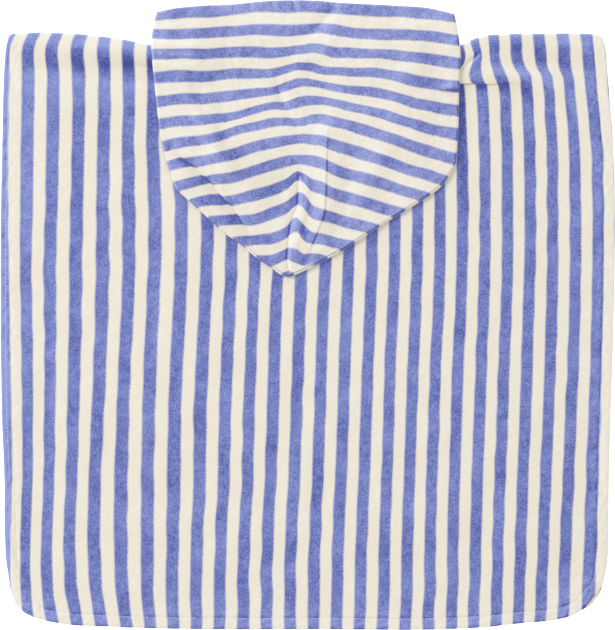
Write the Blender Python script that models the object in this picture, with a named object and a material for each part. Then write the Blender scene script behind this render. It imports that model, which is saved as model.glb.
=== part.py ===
"""A child's hooded bath poncho in velour terry, lying flat on its front.

The hood is folded down over the back. X runs across the poncho, Y from the bottom hem up to the
mouth of the hood, and Z up from the surface that the poncho lies on. Three cut pieces make it: a
front panel, a back panel whose shoulders roll over the top fold to meet the front at the shoulder
seams, and a hood folded into a bag. Each piece is a wall of cloth: an outer and an inner skin with
the same net of faces, joined round the cloth's free edges.
"""

import math

import bmesh
import bpy
import numpy as np
from mathutils.geometry import delaunay_2d_cdt

MM = 0.001

# The cloth and its turned hem.
WALL = 2.0 * MM  # one thickness of velour terry
HEM_WALL = 2.6 * MM  # the turned hem, pressed flat
HEM_WIDTH = 11.0 * MM  # from the folded edge in to the line of stitches
HEM_STEP = 1.5 * MM  # width of the slope from the hem down to the single cloth
HEM_ROUND = 1.3 * MM  # how far in from the edge the fold of the hem is rounded
EDGE_SHARE = 0.35  # height of the hem's outermost edge, as a share of its thickness
STITCH_DIP = 0.5 * MM  # how far the stitches pull the hem's surface down
STITCH_REACH = 0.8 * MM  # how far to each side that pull is felt
CLEARANCE = 0.3 * MM  # between pieces that touch

# Where the back rolls over the shoulders.
FOLD_RADIUS = 3.2 * MM  # outer radius of the roll
FOLD_EASE = 26.0 * MM  # length over which the roll settles down to the flat cloth
FOLD_STEPS = 6  # facets round the roll
SHOULDER_STRIP = 9.0 * MM  # from the roll to the shoulder seam, underneath
NECK_LEFT = -115.0 * MM
NECK_RIGHT = 120.0 * MM
NECK_FADE = 30.0 * MM  # length over which the roll dies away inside the neck

# How far the front panel shows past the back panel at the right-hand bottom corner.
PEEK = 1.6 * MM
PEEK_AT = 272.0 * MM, -284.0 * MM
PEEK_REACH = 38.0 * MM

# The hood, a bag of two layers.
HOOD_AIR = 0.4 * MM  # least space between the hood's two layers, besides the clearance
HOOD_EDGE_PUFF = 1.5 * MM  # how much more the folded sides of the bag stand open
HOOD_EDGE_REACH = 22.0 * MM  # how far in from the folded side they do
HOOD_MAX_PUFF = 3.4 * MM
HOOD_SAG = 5.0 * MM  # how far the mouth droops past the shoulders
HOOD_SAG_LENGTH = 38.0 * MM
HOOD_REST = 9.0 * MM  # the hood bridges hollows narrower than this
HOOD_FOLD_STEPS = 4  # facets round the bag's folded sides
HOOD_COLUMNS = 30
HOOD_ROWS = 28
SEAM_COLUMN = 13  # the column of the hood's net that its seam follows

# Sizes of the nets.
EDGE_STEP = 13.0 * MM  # longest step between points along an edge
EDGE_TURN = math.radians(13)  # most that an edge turns between two points
CLOTH_STEP = 25.0 * MM  # between points inside a panel
LEDGE_RUN = 1.0 * MM  # width of the tuck's steep face

# The hemmed edge of the back: left side down, bottom across, right side up (across, up; mm).
HEM_EDGE = (
    (-292.5, 271.8),
    (-296.5, 242.5),
    (-298.5, 195.5),
    (-300.0, 113.0),
    (-300.5, 15.0),
    (-299.5, -102.5),
    (-296.0, -184.0),
    (-294.5, -240.0),
    (-291.5, -260.0),
    (-288.0, -277.0),
    (-281.5, -288.0),
    (-267.5, -295.5),
    (-240.5, -301.5),
    (-194.5, -305.0),
    (-105.5, -307.0),
    (10.0, -307.4),
    (124.0, -307.0),
    (188.5, -303.5),
    (235.0, -298.5),
    (258.5, -293.0),
    (274.0, -284.5),
    (286.0, -268.5),
    (292.5, -240.0),
    (295.0, -205.0),
    (297.5, -83.0),
    (300.5, 15.0),
    (301.0, 93.5),
    (300.0, 152.0),
    (295.5, 220.0),
    (293.0, 246.0),
    (289.5, 270.8),
)

# The top of the shoulder roll, left edge to right edge (across, up; mm).
FOLD_LINE = (
    (-293.0, 275.0),
    (-274.0, 277.0),
    (-248.5, 277.0),
    (-223.0, 275.5),
    (-202.5, 273.5),
    (-179.0, 269.5),
    (-154.5, 265.0),
    (-115.0, 263.0),
    (120.0, 262.0),
    (149.0, 264.0),
    (163.5, 271.0),
    (175.5, 274.5),
    (197.5, 275.5),
    (257.5, 276.5),
    (290.0, 274.0),
)

# Necklines between the shoulder rolls, from left to right (across, up; mm).
BACK_NECK = (
    (-105.5, 254.5),
    (-81.0, 249.0),
    (-0.5, 245.5),
    (86.0, 249.0),
    (110.5, 254.5),
)
FRONT_NECK = (
    (-102.0, 235.5),
    (-66.0, 222.5),
    (0.5, 217.0),
    (71.0, 222.5),
    (106.0, 235.5),
)

# Soft ridges in the back: middle, length, width, turn from the X axis, height (mm, degrees).
BACK_FOLDS = (
    # across, up, length, width, turn, rise
    (-222.0, 226.0, 190.0, 46.0, -4.0, 1.0),
    (212.0, 246.0, 120.0, 22.0, -38.0, 1.0),
    (268.0, 196.0, 130.0, 30.0, -58.0, 0.8),
    (-120.0, 60.0, 320.0, 90.0, 82.0, 0.5),
    (150.0, -70.0, 380.0, 110.0, 96.0, 0.5),
    (10.0, -215.0, 420.0, 90.0, 3.0, 0.4),
)

# The tuck in the right shoulder, whose upper side lies on its lower side (mm).
TUCK = (
    # across, up, drop
    (128.0, 228.0, 0.0),
    (149.5, 227.3, 1.8),
    (173.0, 227.0, 1.7),
    (187.0, 226.5, 1.2),
    (198.0, 225.0, 0.6),
    (210.0, 222.5, 0.0),
)
TUCK_FADE = 30.0 * MM  # length over which the tuck's upper side settles
TUCK_KEEPS = 0.4  # share of the drop that is left after it

# The hood's outline: left side down, lower edges to the tip and up, right side up (across, up; mm).
HOOD_LEFT = (
    (-146.5, 296.0),
    (-150.5, 279.5),
    (-152.5, 266.0),
    (-151.5, 250.0),
    (-146.5, 197.0),
    (-142.5, 169.0),
    (-135.5, 143.5),
    (-129.0, 123.5),
)
HOOD_TIP_LEFT = (
    (-129.0, 123.5),
    (-104.5, 101.5),
    (-81.0, 80.0),
    (-64.0, 68.0),
    (-48.0, 54.5),
    (-35.0, 46.0),
    (-26.0, 39.5),
    (-18.0, 37.0),
)
HOOD_TIP_RIGHT = (
    (-18.0, 37.0),
    (-9.0, 40.5),
    (11.5, 50.5),
    (35.0, 63.5),
    (81.0, 93.0),
    (113.5, 113.0),
    (129.0, 124.0),
    (139.0, 137.0),
    (145.5, 150.0),
)
HOOD_RIGHT = (
    (145.5, 150.0),
    (147.5, 179.0),
    (148.5, 229.0),
    (149.5, 255.0),
    (148.5, 266.0),
    (145.5, 283.0),
    (143.0, 293.0),
)
# The mouth of the hood, left to right, on its upper and its under layer (across, up; mm).
HOOD_MOUTH = (
    (-143.6, 297.0),
    (-134.5, 299.5),
    (-104.5, 302.5),
    (-76.0, 304.0),
    (-36.5, 307.3),
    (2.5, 307.5),
    (36.0, 305.0),
    (90.5, 303.0),
    (118.0, 301.0),
    (130.0, 298.5),
    (140.1, 294.0),
)
HOOD_NECK = (
    (-143.6, 295.0),
    (-134.0, 283.0),
    (-122.0, 268.0),
    (-106.0, 256.0),
    (-80.0, 250.5),
    (-0.5, 247.0),
    (85.0, 250.5),
    (110.0, 256.0),
    (125.0, 267.0),
    (133.0, 279.0),
    (140.1, 292.0),
)
# The seam of the hood, from the point where it starts on the crown down to the tip.
HOOD_SEAM = (
    # up, across (mm)
    (37.0, -18.0),
    (55.0, -19.5),
    (67.0, -19.0),
    (82.0, -16.5),
    (96.0, -12.5),
    (109.0, -8.5),
    (141.0, -8.0),
    (308.0, -8.0),
)
SEAM_TOP = 140.5 * MM
SEAM_GROWTH = 34.0 * MM  # length over which the seam's valley reaches its full depth
SEAM_VALLEY = 1.1 * MM
SEAM_VALLEY_REACH = 3.5 * MM
SEAM_RIDGE = 1.3 * MM
SEAM_RIDGE_AWAY = 11.0 * MM
SEAM_RIDGE_REACH = 8.0 * MM

# Soft ridges in the hood's upper layer, set out as in BACK_FOLDS.
HOOD_FOLDS = (
    # across, up, length, width, turn, rise
    (10.5, 108.0, 124.0, 18.0, 79.0, 1.4),
    (10.0, 226.0, 150.0, 44.0, 90.0, 0.9),
    (-18.0, 205.0, 52.0, 14.0, -66.0, -0.7),
    (-88.0, 126.0, 100.0, 18.0, -47.0, 1.2),
    (-98.0, 116.0, 92.0, 12.0, -47.0, -0.5),
    (-84.0, 172.0, 60.0, 20.0, -78.0, 0.8),
    (-74.0, 262.0, 170.0, 46.0, 8.0, 0.8),
    (84.0, 258.0, 160.0, 44.0, -8.0, 0.9),
    (84.0, 158.0, 130.0, 44.0, -32.0, 0.9),
)

COLOURS = {
    # name: linear red, green, blue
    "front": (0.855, 0.800, 0.691),
    "back": (0.174, 0.216, 0.552),
    "hood": (0.223, 0.266, 0.584),
}
ROUGHNESS = 0.95


def smoothstep(x):
    """0 up to 1 as x goes from 0 to 1, with no corner at either end."""
    x = np.clip(x, 0.0, 1.0)
    return x * x * (3.0 - 2.0 * x)


def smooth_line(stations, samples=24):
    """A smooth curve through stations in millimetres, as many points in metres."""
    p = np.array(stations, float) * MM
    run = np.linalg.norm(np.diff(p, axis=0), axis=1)[:, None]
    slope = np.diff(p, axis=0) / run
    tangent = np.empty_like(p)
    tangent[0] = slope[0]
    tangent[-1] = slope[-1]
    tangent[1:-1] = (slope[:-1] * run[1:] + slope[1:] * run[:-1]) / (run[1:] + run[:-1])
    t = np.linspace(0.0, 1.0, samples, endpoint=False)[:, None]
    pieces = [
        (2 * t**3 - 3 * t**2 + 1) * p[k]
        + (t**3 - 2 * t**2 + t) * run[k] * tangent[k]
        + (3 * t**2 - 2 * t**3) * p[k + 1]
        + (t**3 - t**2) * run[k] * tangent[k + 1]
        for k in range(len(run))
    ]
    return np.vstack([*pieces, p[-1:]])


def at_shares(line, shares):
    """The points of a line that lie at the given shares of its length."""
    run = np.linalg.norm(np.diff(line, axis=0), axis=1)
    along = np.concatenate([[0.0], np.cumsum(run)])
    want = np.asarray(shares) * along[-1]
    return np.column_stack([np.interp(want, along, line[:, k]) for k in (0, 1)])


def even_points(line, step, turn):
    """Points along a line, closer together where it bends."""
    run = np.diff(line, axis=0)
    length = np.linalg.norm(run, axis=1)
    heading = np.unwrap(np.arctan2(run[:, 1], run[:, 0]))
    bend = np.abs(np.gradient(heading))
    measure = np.concatenate([[0.0], np.cumsum(length / step + bend / turn)])
    count = int(math.ceil(measure[-1])) + 1
    want = np.linspace(0.0, measure[-1], count)
    return np.column_stack([np.interp(want, measure, line[:, k]) for k in (0, 1)])


def normals(line):
    """Unit normals on the right-hand side of an open line."""
    along = np.gradient(line, axis=0)
    along /= np.linalg.norm(along, axis=1)[:, None]
    return np.column_stack([along[:, 1], -along[:, 0]])


def distance_to(line, points):
    """How far each point is from a line."""
    a = line[:-1]
    run = line[1:] - a
    near = np.full(len(points), np.inf)
    for start, step in zip(a, run):
        share = np.clip((points - start) @ step / (step @ step), 0.0, 1.0)
        away = points - start - share[:, None] * step
        near = np.minimum(near, np.hypot(away[:, 0], away[:, 1]))
    return near


def ridges(table, x, y):
    """Height of the soft ridges of a table at x, y."""
    height = np.zeros_like(x)
    for across, up, length, width, turn, rise in table:
        c = math.cos(math.radians(turn))
        s = math.sin(math.radians(turn))
        dx = x - across * MM
        dy = y - up * MM
        along = (dx * c + dy * s) / (length * MM / 2)
        aside = (dy * c - dx * s) / (width * MM / 2)
        height += rise * MM * np.exp(-(along**2) * 2.0 - aside**2 * 2.0)
    return height


def add_piece(name, outer, inner, faces, colour):
    """Close two skins with the same faces into one wall of cloth."""
    count = len(outer)
    uses = {}
    for face in faces:
        for a, b in zip(face, (*face[1:], face[0])):
            uses[frozenset((a, b))] = uses.get(frozenset((a, b)), 0) + 1
    mesh = bpy.data.meshes.new(name)
    bm = bmesh.new()
    verts = [bm.verts.new(p) for p in np.vstack([outer, inner])]
    for face in faces:
        bm.faces.new([verts[k] for k in face])
        bm.faces.new([verts[k + count] for k in reversed(face)])
        for a, b in zip(face, (*face[1:], face[0])):
            if uses[frozenset((a, b))] == 1:
                bm.faces.new([verts[b], verts[a], verts[a + count], verts[b + count]])
    loose = [v for v in bm.verts if not v.link_faces]
    bmesh.ops.delete(bm, geom=loose, context="VERTS")
    bmesh.ops.recalc_face_normals(bm, faces=bm.faces)
    bm.to_mesh(mesh)
    bm.free()
    mesh.shade_smooth()
    mesh.set_sharp_from_angle(angle=math.radians(50))
    mesh.materials.append(cloth_material(f"{name}_velour", colour))
    piece = bpy.data.objects.new(name, mesh)
    bpy.context.collection.objects.link(piece)
    return piece


def cloth_material(name, colour):
    """Matt velour terry."""
    material = bpy.data.materials.new(name)
    material.use_nodes = True
    shader = material.node_tree.nodes["Principled BSDF"]
    shader.inputs["Base Color"].default_value = (*colour, 1.0)
    shader.inputs["Roughness"].default_value = ROUGHNESS
    shader.inputs["Metallic"].default_value = 0.0
    return material


def panel_net(outline, lines, step):
    """Points and triangles that fill a closed outline and follow the lines inside it.

    The third value gives, for each point of the outline, its place among the points.
    """
    points = [tuple(p / MM) for p in outline]
    edges = [(k, (k + 1) % len(outline)) for k in range(len(outline))]
    rings = [np.vstack([outline, outline[:1]])]
    for line in lines:
        first = len(points)
        points += [tuple(p / MM) for p in line]
        edges += [(first + k, first + k + 1) for k in range(len(line) - 1)]
        rings.append(line)
    low = outline.min(axis=0)
    high = outline.max(axis=0)
    count = np.ceil((high - low) / step).astype(int)
    across = np.linspace(low[0], high[0], count[0] + 1)
    up = np.linspace(low[1], high[1], count[1] + 1)
    inner = np.array([(x, y) for x in across for y in up])
    near = np.min([distance_to(ring, inner) for ring in rings], axis=0)
    points += [tuple(p / MM) for p in inner[near > step * 0.55]]
    found = delaunay_2d_cdt(points, edges, [], 1, 1e-3)
    place = {old: new for new, olds in enumerate(found[3]) for old in olds}
    xy = np.array([tuple(v) for v in found[0]]) * MM
    return xy, [tuple(f) for f in found[2]], [place[k] for k in range(len(outline))]


def fold_line(x):
    """Where the top of the shoulder roll lies."""
    across, up = np.array(FOLD_LINE).T * MM
    return np.interp(x, across, up)


def hem_share(d):
    """1 on the turned hem and 0 on the single cloth, at distance d from the hem's edge."""
    return 1.0 - smoothstep((d - HEM_WIDTH) / HEM_STEP)


def hem_rounding(d):
    """Share of the thickness that is left near the folded edge of the hem."""
    inward = np.clip(d / HEM_ROUND, 0.0, 1.0)
    return EDGE_SHARE + (1.0 - EDGE_SHARE) * np.sqrt(1.0 - (1.0 - inward) ** 2)


def thickness(d):
    return WALL + (HEM_WALL - WALL) * hem_share(d)


def stitch_dip(d):
    return STITCH_DIP * np.exp(-(((d - HEM_WIDTH) / STITCH_REACH) ** 2))


def tuck_rise(x, y):
    """Height of the upper side of the tuck over the flat cloth."""
    across, up, drop = np.array(TUCK).T * MM
    above = y - np.interp(x, across, up)
    height = np.interp(x, across, drop, left=0.0, right=0.0)
    settles = 1.0 - (1.0 - TUCK_KEEPS) * smoothstep(above / TUCK_FADE)
    return height * smoothstep(above / LEDGE_RUN) * settles


def back_top(x, y, d):
    """Height of the back's upper surface, d in from its hemmed edge."""
    flat = thickness(d) + CLEARANCE + thickness(d)
    flat = flat + ridges(BACK_FOLDS, x, y) + tuck_rise(x, y)
    below = fold_line(x) - FOLD_RADIUS - y
    roll = smoothstep(1.0 - below / FOLD_EASE)
    inside = np.minimum(x - NECK_LEFT, NECK_RIGHT - x)
    roll = roll * smoothstep(1.0 - inside / NECK_FADE)
    return flat + (2 * FOLD_RADIUS - flat) * roll


def skins(top, d):
    """The two skins of a panel whose upper surface is at top."""
    half = thickness(d) / 2
    middle = top - half
    return middle + half * hem_rounding(d) - stitch_dip(d), middle - half * hem_rounding(d)


HEM_OFFSETS = (HEM_ROUND, HEM_WIDTH - HEM_STEP, HEM_WIDTH, HEM_WIDTH + HEM_STEP)


def panel_edge(grow):
    """The hemmed edge of a panel, and its inward offset lines, from shoulder to shoulder."""
    edge = even_points(smooth_line(HEM_EDGE), EDGE_STEP, EDGE_TURN)
    outward = normals(edge)
    if grow:
        away = np.linalg.norm(edge - np.array(PEEK_AT), axis=1)
        edge = edge + outward * (PEEK * np.exp(-((away / PEEK_REACH) ** 2)))[:, None]
    return edge, [edge - outward * offset for offset in HEM_OFFSETS]


def top_columns(start, stop):
    """Places across a shoulder, from its hemmed side to the neck."""
    side = math.copysign(1.0, stop - start)
    hem = [start + side * offset for offset in (0.0, *HEM_OFFSETS)]
    count = int(math.ceil(abs(stop - hem[-1]) / EDGE_STEP))
    return np.array([*hem, *np.linspace(hem[-1], stop, count + 1)[1:]])


def panel_outline(grow, top_of, neck):
    """A panel's closed outline in the flat, its inner lines, and its two rows of shoulder points."""
    edge, offsets = panel_edge(grow)
    left = top_columns(edge[0, 0], NECK_LEFT)
    right = top_columns(edge[-1, 0], NECK_RIGHT)
    left_row = np.column_stack([left, top_of(left)])
    right_row = np.column_stack([right, top_of(right)])
    edge[0] = left_row[0]
    edge[-1] = right_row[0]
    for k, line in enumerate(offsets):
        line[0] = left_row[k + 1]
        line[-1] = right_row[k + 1]
    ends = [left_row[-1] / MM, *neck, right_row[-1] / MM]
    scoop = even_points(smooth_line(ends), EDGE_STEP, EDGE_TURN)
    outline = np.vstack([edge, right_row[1:], scoop[::-1][1:-1], left_row[::-1][:-1]])
    return outline, edge, offsets, left_row, right_row


def front_panel():
    """The layer that rests on the surface, flat underneath."""

    def seam(x):
        return fold_line(x) - FOLD_RADIUS - SHOULDER_STRIP - CLEARANCE

    outline, edge, offsets, _, _ = panel_outline(True, seam, FRONT_NECK)
    plain = [offsets[0], offsets[2], offsets[3]]
    xy, faces, _ = panel_net(outline, plain, CLOTH_STEP * 2)
    d = distance_to(edge, xy)
    top, _ = skins(thickness(d), d)
    _, bottom = skins(thickness(d), d)
    return add_piece(
        "front_panel",
        np.column_stack([xy, top]),
        np.column_stack([xy, bottom]),
        faces,
        COLOURS["front"],
    )


def roll_point(x, start, turn, d, past):
    """The two skins where the back is rolled through turn, then past it underneath."""
    half = thickness(d) / 2
    middle = FOLD_RADIUS - half
    found = []
    for side in (1.0, -1.0):
        radius = middle + side * half * hem_rounding(d)
        y = start + radius * math.sin(turn) - past
        z = FOLD_RADIUS + radius * math.cos(turn)
        found.append(np.column_stack([x, y, np.broadcast_to(z, x.shape)]))
    return found


def back_panel():
    """The layer on top, with its shoulders rolled over to the seams underneath."""

    def roll_start(x):
        return fold_line(x) - FOLD_RADIUS

    outline, edge, offsets, left_row, right_row = panel_outline(False, roll_start, BACK_NECK)
    across, up, _ = np.array(TUCK).T * MM
    tuck = even_points(np.column_stack([across, up]), EDGE_STEP, EDGE_TURN)
    tuck_lines = [tuck, tuck + np.array([0.0, LEDGE_RUN])]
    xy, faces, place = panel_net(outline, [*offsets, *tuck_lines], CLOTH_STEP)
    d = distance_to(edge, xy)
    top, bottom = skins(back_top(xy[:, 0], xy[:, 1], d), d)
    outer = [np.column_stack([xy, top])]
    inner = [np.column_stack([xy, bottom])]
    faces = list(faces)
    count = len(xy)
    turns = [math.pi * k / FOLD_STEPS for k in range(1, FOLD_STEPS + 1)]
    rows = [(turn, 0.0) for turn in turns] + [(math.pi, SHOULDER_STRIP)]
    right_first = len(edge) - 1
    right_places = [place[right_first + k] for k in range(len(right_row))]
    left_places = [place[-k] for k in range(len(left_row))]
    for row, places in ((left_row, left_places), (right_row, right_places)):
        x = row[:, 0]
        inward = np.abs(x - x[0])
        before = places
        for turn, past in rows:
            out, into = roll_point(x, row[:, 1], turn, inward, past)
            outer.append(out)
            inner.append(into)
            now = list(range(count, count + len(x)))
            count += len(x)
            for k in range(len(x) - 1):
                face = (before[k], before[k + 1], now[k + 1], now[k])
                faces.append(face if x[0] < 0 else face[::-1])
            before = now
    return add_piece("back_panel", np.vstack(outer), np.vstack(inner), faces, COLOURS["back"])


def support(x, y):
    """Height of what the hood lies on, the highest within its reach."""
    over = np.full(x.shape, -np.inf)
    for dx in (-HOOD_REST, 0.0, HOOD_REST):
        for dy in (-HOOD_REST, 0.0, HOOD_REST):
            start = fold_line(x + dx) - FOLD_RADIUS
            height = back_top(x + dx, np.minimum(y + dy, start), np.full(x.shape, 1.0))
            over = np.maximum(over, height)
    past = y - fold_line(x)
    return over - HOOD_SAG * smoothstep(past / HOOD_SAG_LENGTH)


def seam_across(y):
    """Where the hood's seam lies at height y."""
    up, across = np.array(HOOD_SEAM).T * MM
    return np.interp(y, up, across)


def seam_relief(x, y):
    """The valley of the hood's seam and the ridges along it."""
    away = np.abs(x - seam_across(y))
    grown = smoothstep((SEAM_TOP - y) / SEAM_GROWTH)
    ridge = SEAM_RIDGE * np.exp(-(((away - SEAM_RIDGE_AWAY) / SEAM_RIDGE_REACH) ** 2))
    valley = SEAM_VALLEY * np.exp(-((away / SEAM_VALLEY_REACH) ** 2))
    return grown * (ridge - valley)


def hood_patch(bottom, left, right, top, warp):
    """A net of points between four edges, rows from the bottom edge up."""
    s = np.linspace(0.0, 1.0, len(bottom))[None, :, None]
    t = np.linspace(0.0, 1.0, len(left))[:, None, None]
    net = (1 - t) * bottom[None] + t * top[None] + (1 - s) * left[:, None] + s * right[:, None]
    net -= (1 - s) * ((1 - t) * bottom[0] + t * top[0]) + s * ((1 - t) * bottom[-1] + t * top[-1])
    middle = net[:, SEAM_COLUMN, :]
    shift = seam_across(middle[:, 1]) - middle[:, 0]
    near = np.exp(-(((s[0, :, 0] - s[0, SEAM_COLUMN, 0]) / 0.14) ** 2)) * warp
    net[:, :, 0] += shift[:, None] * near[None, :]
    return net


def hood_columns():
    """Shares across the hood's net, closer together on each side of the seam."""
    left = np.linspace(0.0, 1.0, SEAM_COLUMN + 1) ** 0.85
    right = 1.0 - np.linspace(1.0, 0.0, HOOD_COLUMNS - SEAM_COLUMN + 1) ** 0.85
    return left, right


def two_part_line(line, middle):
    """Points along a line whose seam point is at the share middle of its length."""
    left, right = hood_columns()
    shares = np.concatenate([left * middle, middle + right[1:] * (1.0 - middle)])
    return at_shares(line, shares)


def hood():
    """The folded bag: an upper layer, an under layer and the folds that join them on three sides."""
    tip_left = smooth_line(HOOD_TIP_LEFT)
    tip_right = smooth_line(HOOD_TIP_RIGHT)
    side_left = smooth_line(HOOD_LEFT)
    side_right = smooth_line(HOOD_RIGHT)
    rows = np.linspace(0.0, 1.0, HOOD_ROWS + 1)
    tip = np.vstack([tip_left, tip_right[1:]])
    tip_share = len_of(tip_left) / len_of(tip)
    bottom = two_part_line(tip, tip_share)
    left = at_shares(side_left, 1.0 - rows)
    right = at_shares(side_right, rows)
    outline = np.vstack([left[::-1], bottom[1:-1], right])
    outward = normals(outline)

    # The middle of the wall turns under with this radius, inside the outline by the same and half
    # a wall more.
    puff = HOOD_AIR + HOOD_EDGE_PUFF
    fold_radius = (WALL + CLEARANCE + puff) / 2
    seat = outline - outward * (fold_radius + WALL / 2)
    seat_left = seat[: HOOD_ROWS + 1][::-1]
    seat_bottom = seat[HOOD_ROWS : HOOD_ROWS + HOOD_COLUMNS + 1]
    seat_right = seat[HOOD_ROWS + HOOD_COLUMNS :]

    mouth = smooth_line(HOOD_MOUTH)
    neck = smooth_line(HOOD_NECK)
    mouth[0] = neck[0] = seat_left[-1]
    mouth[-1] = neck[-1] = seat_right[-1]
    over_net = hood_patch(seat_bottom, seat_left, seat_right, two_part_line(mouth, 0.478), 1.0)
    under_net = hood_patch(seat_bottom, seat_left, seat_right, two_part_line(neck, 0.46), 0.0)

    def layer_heights(net):
        flat = net.reshape(-1, 2)
        x, y = flat.T
        low = support(x, y) + CLEARANCE + WALL / 2
        edge = distance_to(seat, flat)
        open_edge = HOOD_EDGE_PUFF * (1.0 - smoothstep(edge / HOOD_EDGE_REACH))
        folds = ridges(HOOD_FOLDS, x, y) + seam_relief(x, y)
        inside = smoothstep(edge / HOOD_EDGE_REACH)
        gap = np.clip(HOOD_AIR + open_edge + folds * inside, 0.0, HOOD_MAX_PUFF)
        return flat, low, low + WALL + CLEARANCE + gap

    over_xy, _, over_z = layer_heights(over_net)
    under_xy, under_z, _ = layer_heights(under_net)
    cells = (HOOD_ROWS + 1) * (HOOD_COLUMNS + 1)
    index = np.arange(cells).reshape(HOOD_ROWS + 1, HOOD_COLUMNS + 1)
    rim = np.concatenate([index[::-1, 0], index[0, 1:-1], index[:, -1]])
    half = WALL / 2
    outer = [np.column_stack([over_xy, over_z + half]), np.column_stack([under_xy, under_z - half])]
    inner = [np.column_stack([over_xy, over_z - half]), np.column_stack([under_xy, under_z + half])]
    faces = []
    for i in range(HOOD_ROWS):
        for j in range(HOOD_COLUMNS):
            a, b, c, e = index[i, j], index[i, j + 1], index[i + 1, j + 1], index[i + 1, j]
            faces.append((a, b, c, e))
            faces.append((a + cells, e + cells, c + cells, b + cells))
    middle_z = (over_z[rim] + under_z[rim]) / 2
    radius = (over_z[rim] - under_z[rim]) / 2
    before = rim
    count = 2 * cells
    for k in range(1, HOOD_FOLD_STEPS):
        turn = math.pi * k / HOOD_FOLD_STEPS
        for skin, side in ((outer, 1.0), (inner, -1.0)):
            reach = radius + side * half
            xy = seat + outward * (reach * math.sin(turn))[:, None]
            skin.append(np.column_stack([xy, middle_z + reach * math.cos(turn)]))
        now = np.arange(count, count + len(rim))
        count += len(rim)
        faces += [(before[b], now[b], now[b + 1], before[b + 1]) for b in range(len(rim) - 1)]
        before = now
    last = rim + cells
    faces += [(before[b], last[b], last[b + 1], before[b + 1]) for b in range(len(rim) - 1)]
    faces = [tuple(int(k) for k in face) for face in faces]
    return add_piece("hood", np.vstack(outer), np.vstack(inner), faces, COLOURS["hood"])


def len_of(line):
    return float(np.linalg.norm(np.diff(line, axis=0), axis=1).sum())


def main():
    for old in list(bpy.data.objects):
        bpy.data.objects.remove(old)
    front_panel()
    back_panel()
    hood()


main()
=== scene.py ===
# %% [markdown]
# # A child's hooded bath poncho
#
# The real one is cut from striped velour terry, a towel cloth whose loops are sheared to a soft nap.
# Three pieces make it: a front, a back and a hood that is folded into a bag. It lies on its front, with
# the hood folded down over the back.
#
# The plain solids of the three pieces come first. They are loaded as they are, and this lesson lays the
# cloth that is seen over them.

# %% Load the solids
import math
from collections import Counter

import bmesh
import bpy
import numpy as np
from mathutils.geometry import delaunay_2d_cdt
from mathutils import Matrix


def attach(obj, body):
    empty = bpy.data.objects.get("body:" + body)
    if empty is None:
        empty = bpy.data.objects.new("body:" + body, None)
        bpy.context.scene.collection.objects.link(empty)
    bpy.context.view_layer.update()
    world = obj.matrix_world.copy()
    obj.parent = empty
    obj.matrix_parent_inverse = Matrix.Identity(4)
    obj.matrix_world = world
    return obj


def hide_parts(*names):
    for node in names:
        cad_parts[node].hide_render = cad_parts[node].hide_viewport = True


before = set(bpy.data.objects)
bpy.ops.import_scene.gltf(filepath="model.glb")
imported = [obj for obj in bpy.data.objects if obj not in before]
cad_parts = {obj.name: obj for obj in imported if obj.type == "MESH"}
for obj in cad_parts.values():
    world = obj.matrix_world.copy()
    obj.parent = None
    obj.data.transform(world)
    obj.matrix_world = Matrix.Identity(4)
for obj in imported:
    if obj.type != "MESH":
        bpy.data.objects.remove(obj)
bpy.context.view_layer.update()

print("solids:", sorted(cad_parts))

# %% [markdown]
# ## Sizes of the cloth
#
# A shell can only replace a solid if it lies where the solid lies, so it starts from the same sizes: the
# thickness of the terry, the width of its turned hem, the roll of the shoulders and the outlines. The
# outlines are short tables of stations, in millimetres, with a smooth curve drawn through them. Stations
# are easier to read and to change than the points of a mesh.

# %% Sizes
MM = 0.001

WALL = 2.0 * MM  # one thickness of velour terry
HEM_WALL = 2.2 * MM  # the turned hem, pressed flat
HEM_WIDTH = 11.0 * MM  # from the folded edge in to the line of stitches
HEM_STEP = 13.0 * MM  # width of the slope from the hem down to the single cloth
HEM_ROUND = 3.6 * MM  # how far in from the edge the fold of the hem is rounded
EDGE_SHARE = 0.35  # height of the hem's outermost edge, as a share of its thickness
STITCH_DIP = 0.18 * MM  # how far the stitches pull the hem's surface down
STITCH_REACH = 0.8 * MM  # how far to each side that pull is felt
BESIDE_STITCHES = 2.6 * MM  # from the stitches in to where the cloth puffs up beside them
PUFF = 0.06 * MM  # how much it does
PUFF_REACH = 1.6 * MM
CLEARANCE = 0.3 * MM  # between pieces that touch

FOLD_RADIUS = 3.2 * MM  # outer radius of the roll over the shoulders
FOLD_LEVEL = 7.0 * MM  # how far in from the roll the shoulder stays as high as the roll
FOLD_EASE = 25.0 * MM  # length over which it then settles down to the flat cloth
FOLD_STEPS = 14  # facets round the roll
SHOULDER_STRIP = 9.0 * MM  # from the roll to the shoulder seam, underneath
NECK_LEFT = -115.0 * MM  # the shoulders end and the neck begins here, and
NECK_RIGHT = 120.0 * MM  # here on the right
NECK_FADE = 30.0 * MM  # length over which the roll dies out towards the neck

PEEK = 4.2 * MM  # how far the front shows past the back at the right-hand bottom corner
PEEK_AT = 279.5 * MM, -277.5 * MM
PEEK_REACH = 12.0 * MM

EDGE_STEP = 3.2 * MM  # longest step between points along an edge
EDGE_TURN = math.radians(6)  # most that an edge turns between two points
CLOTH_STEP = 3.4 * MM  # between points inside the back
FRONT_STEP = 7.5 * MM  # between points inside the front, which is flat and mostly hidden

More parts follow.
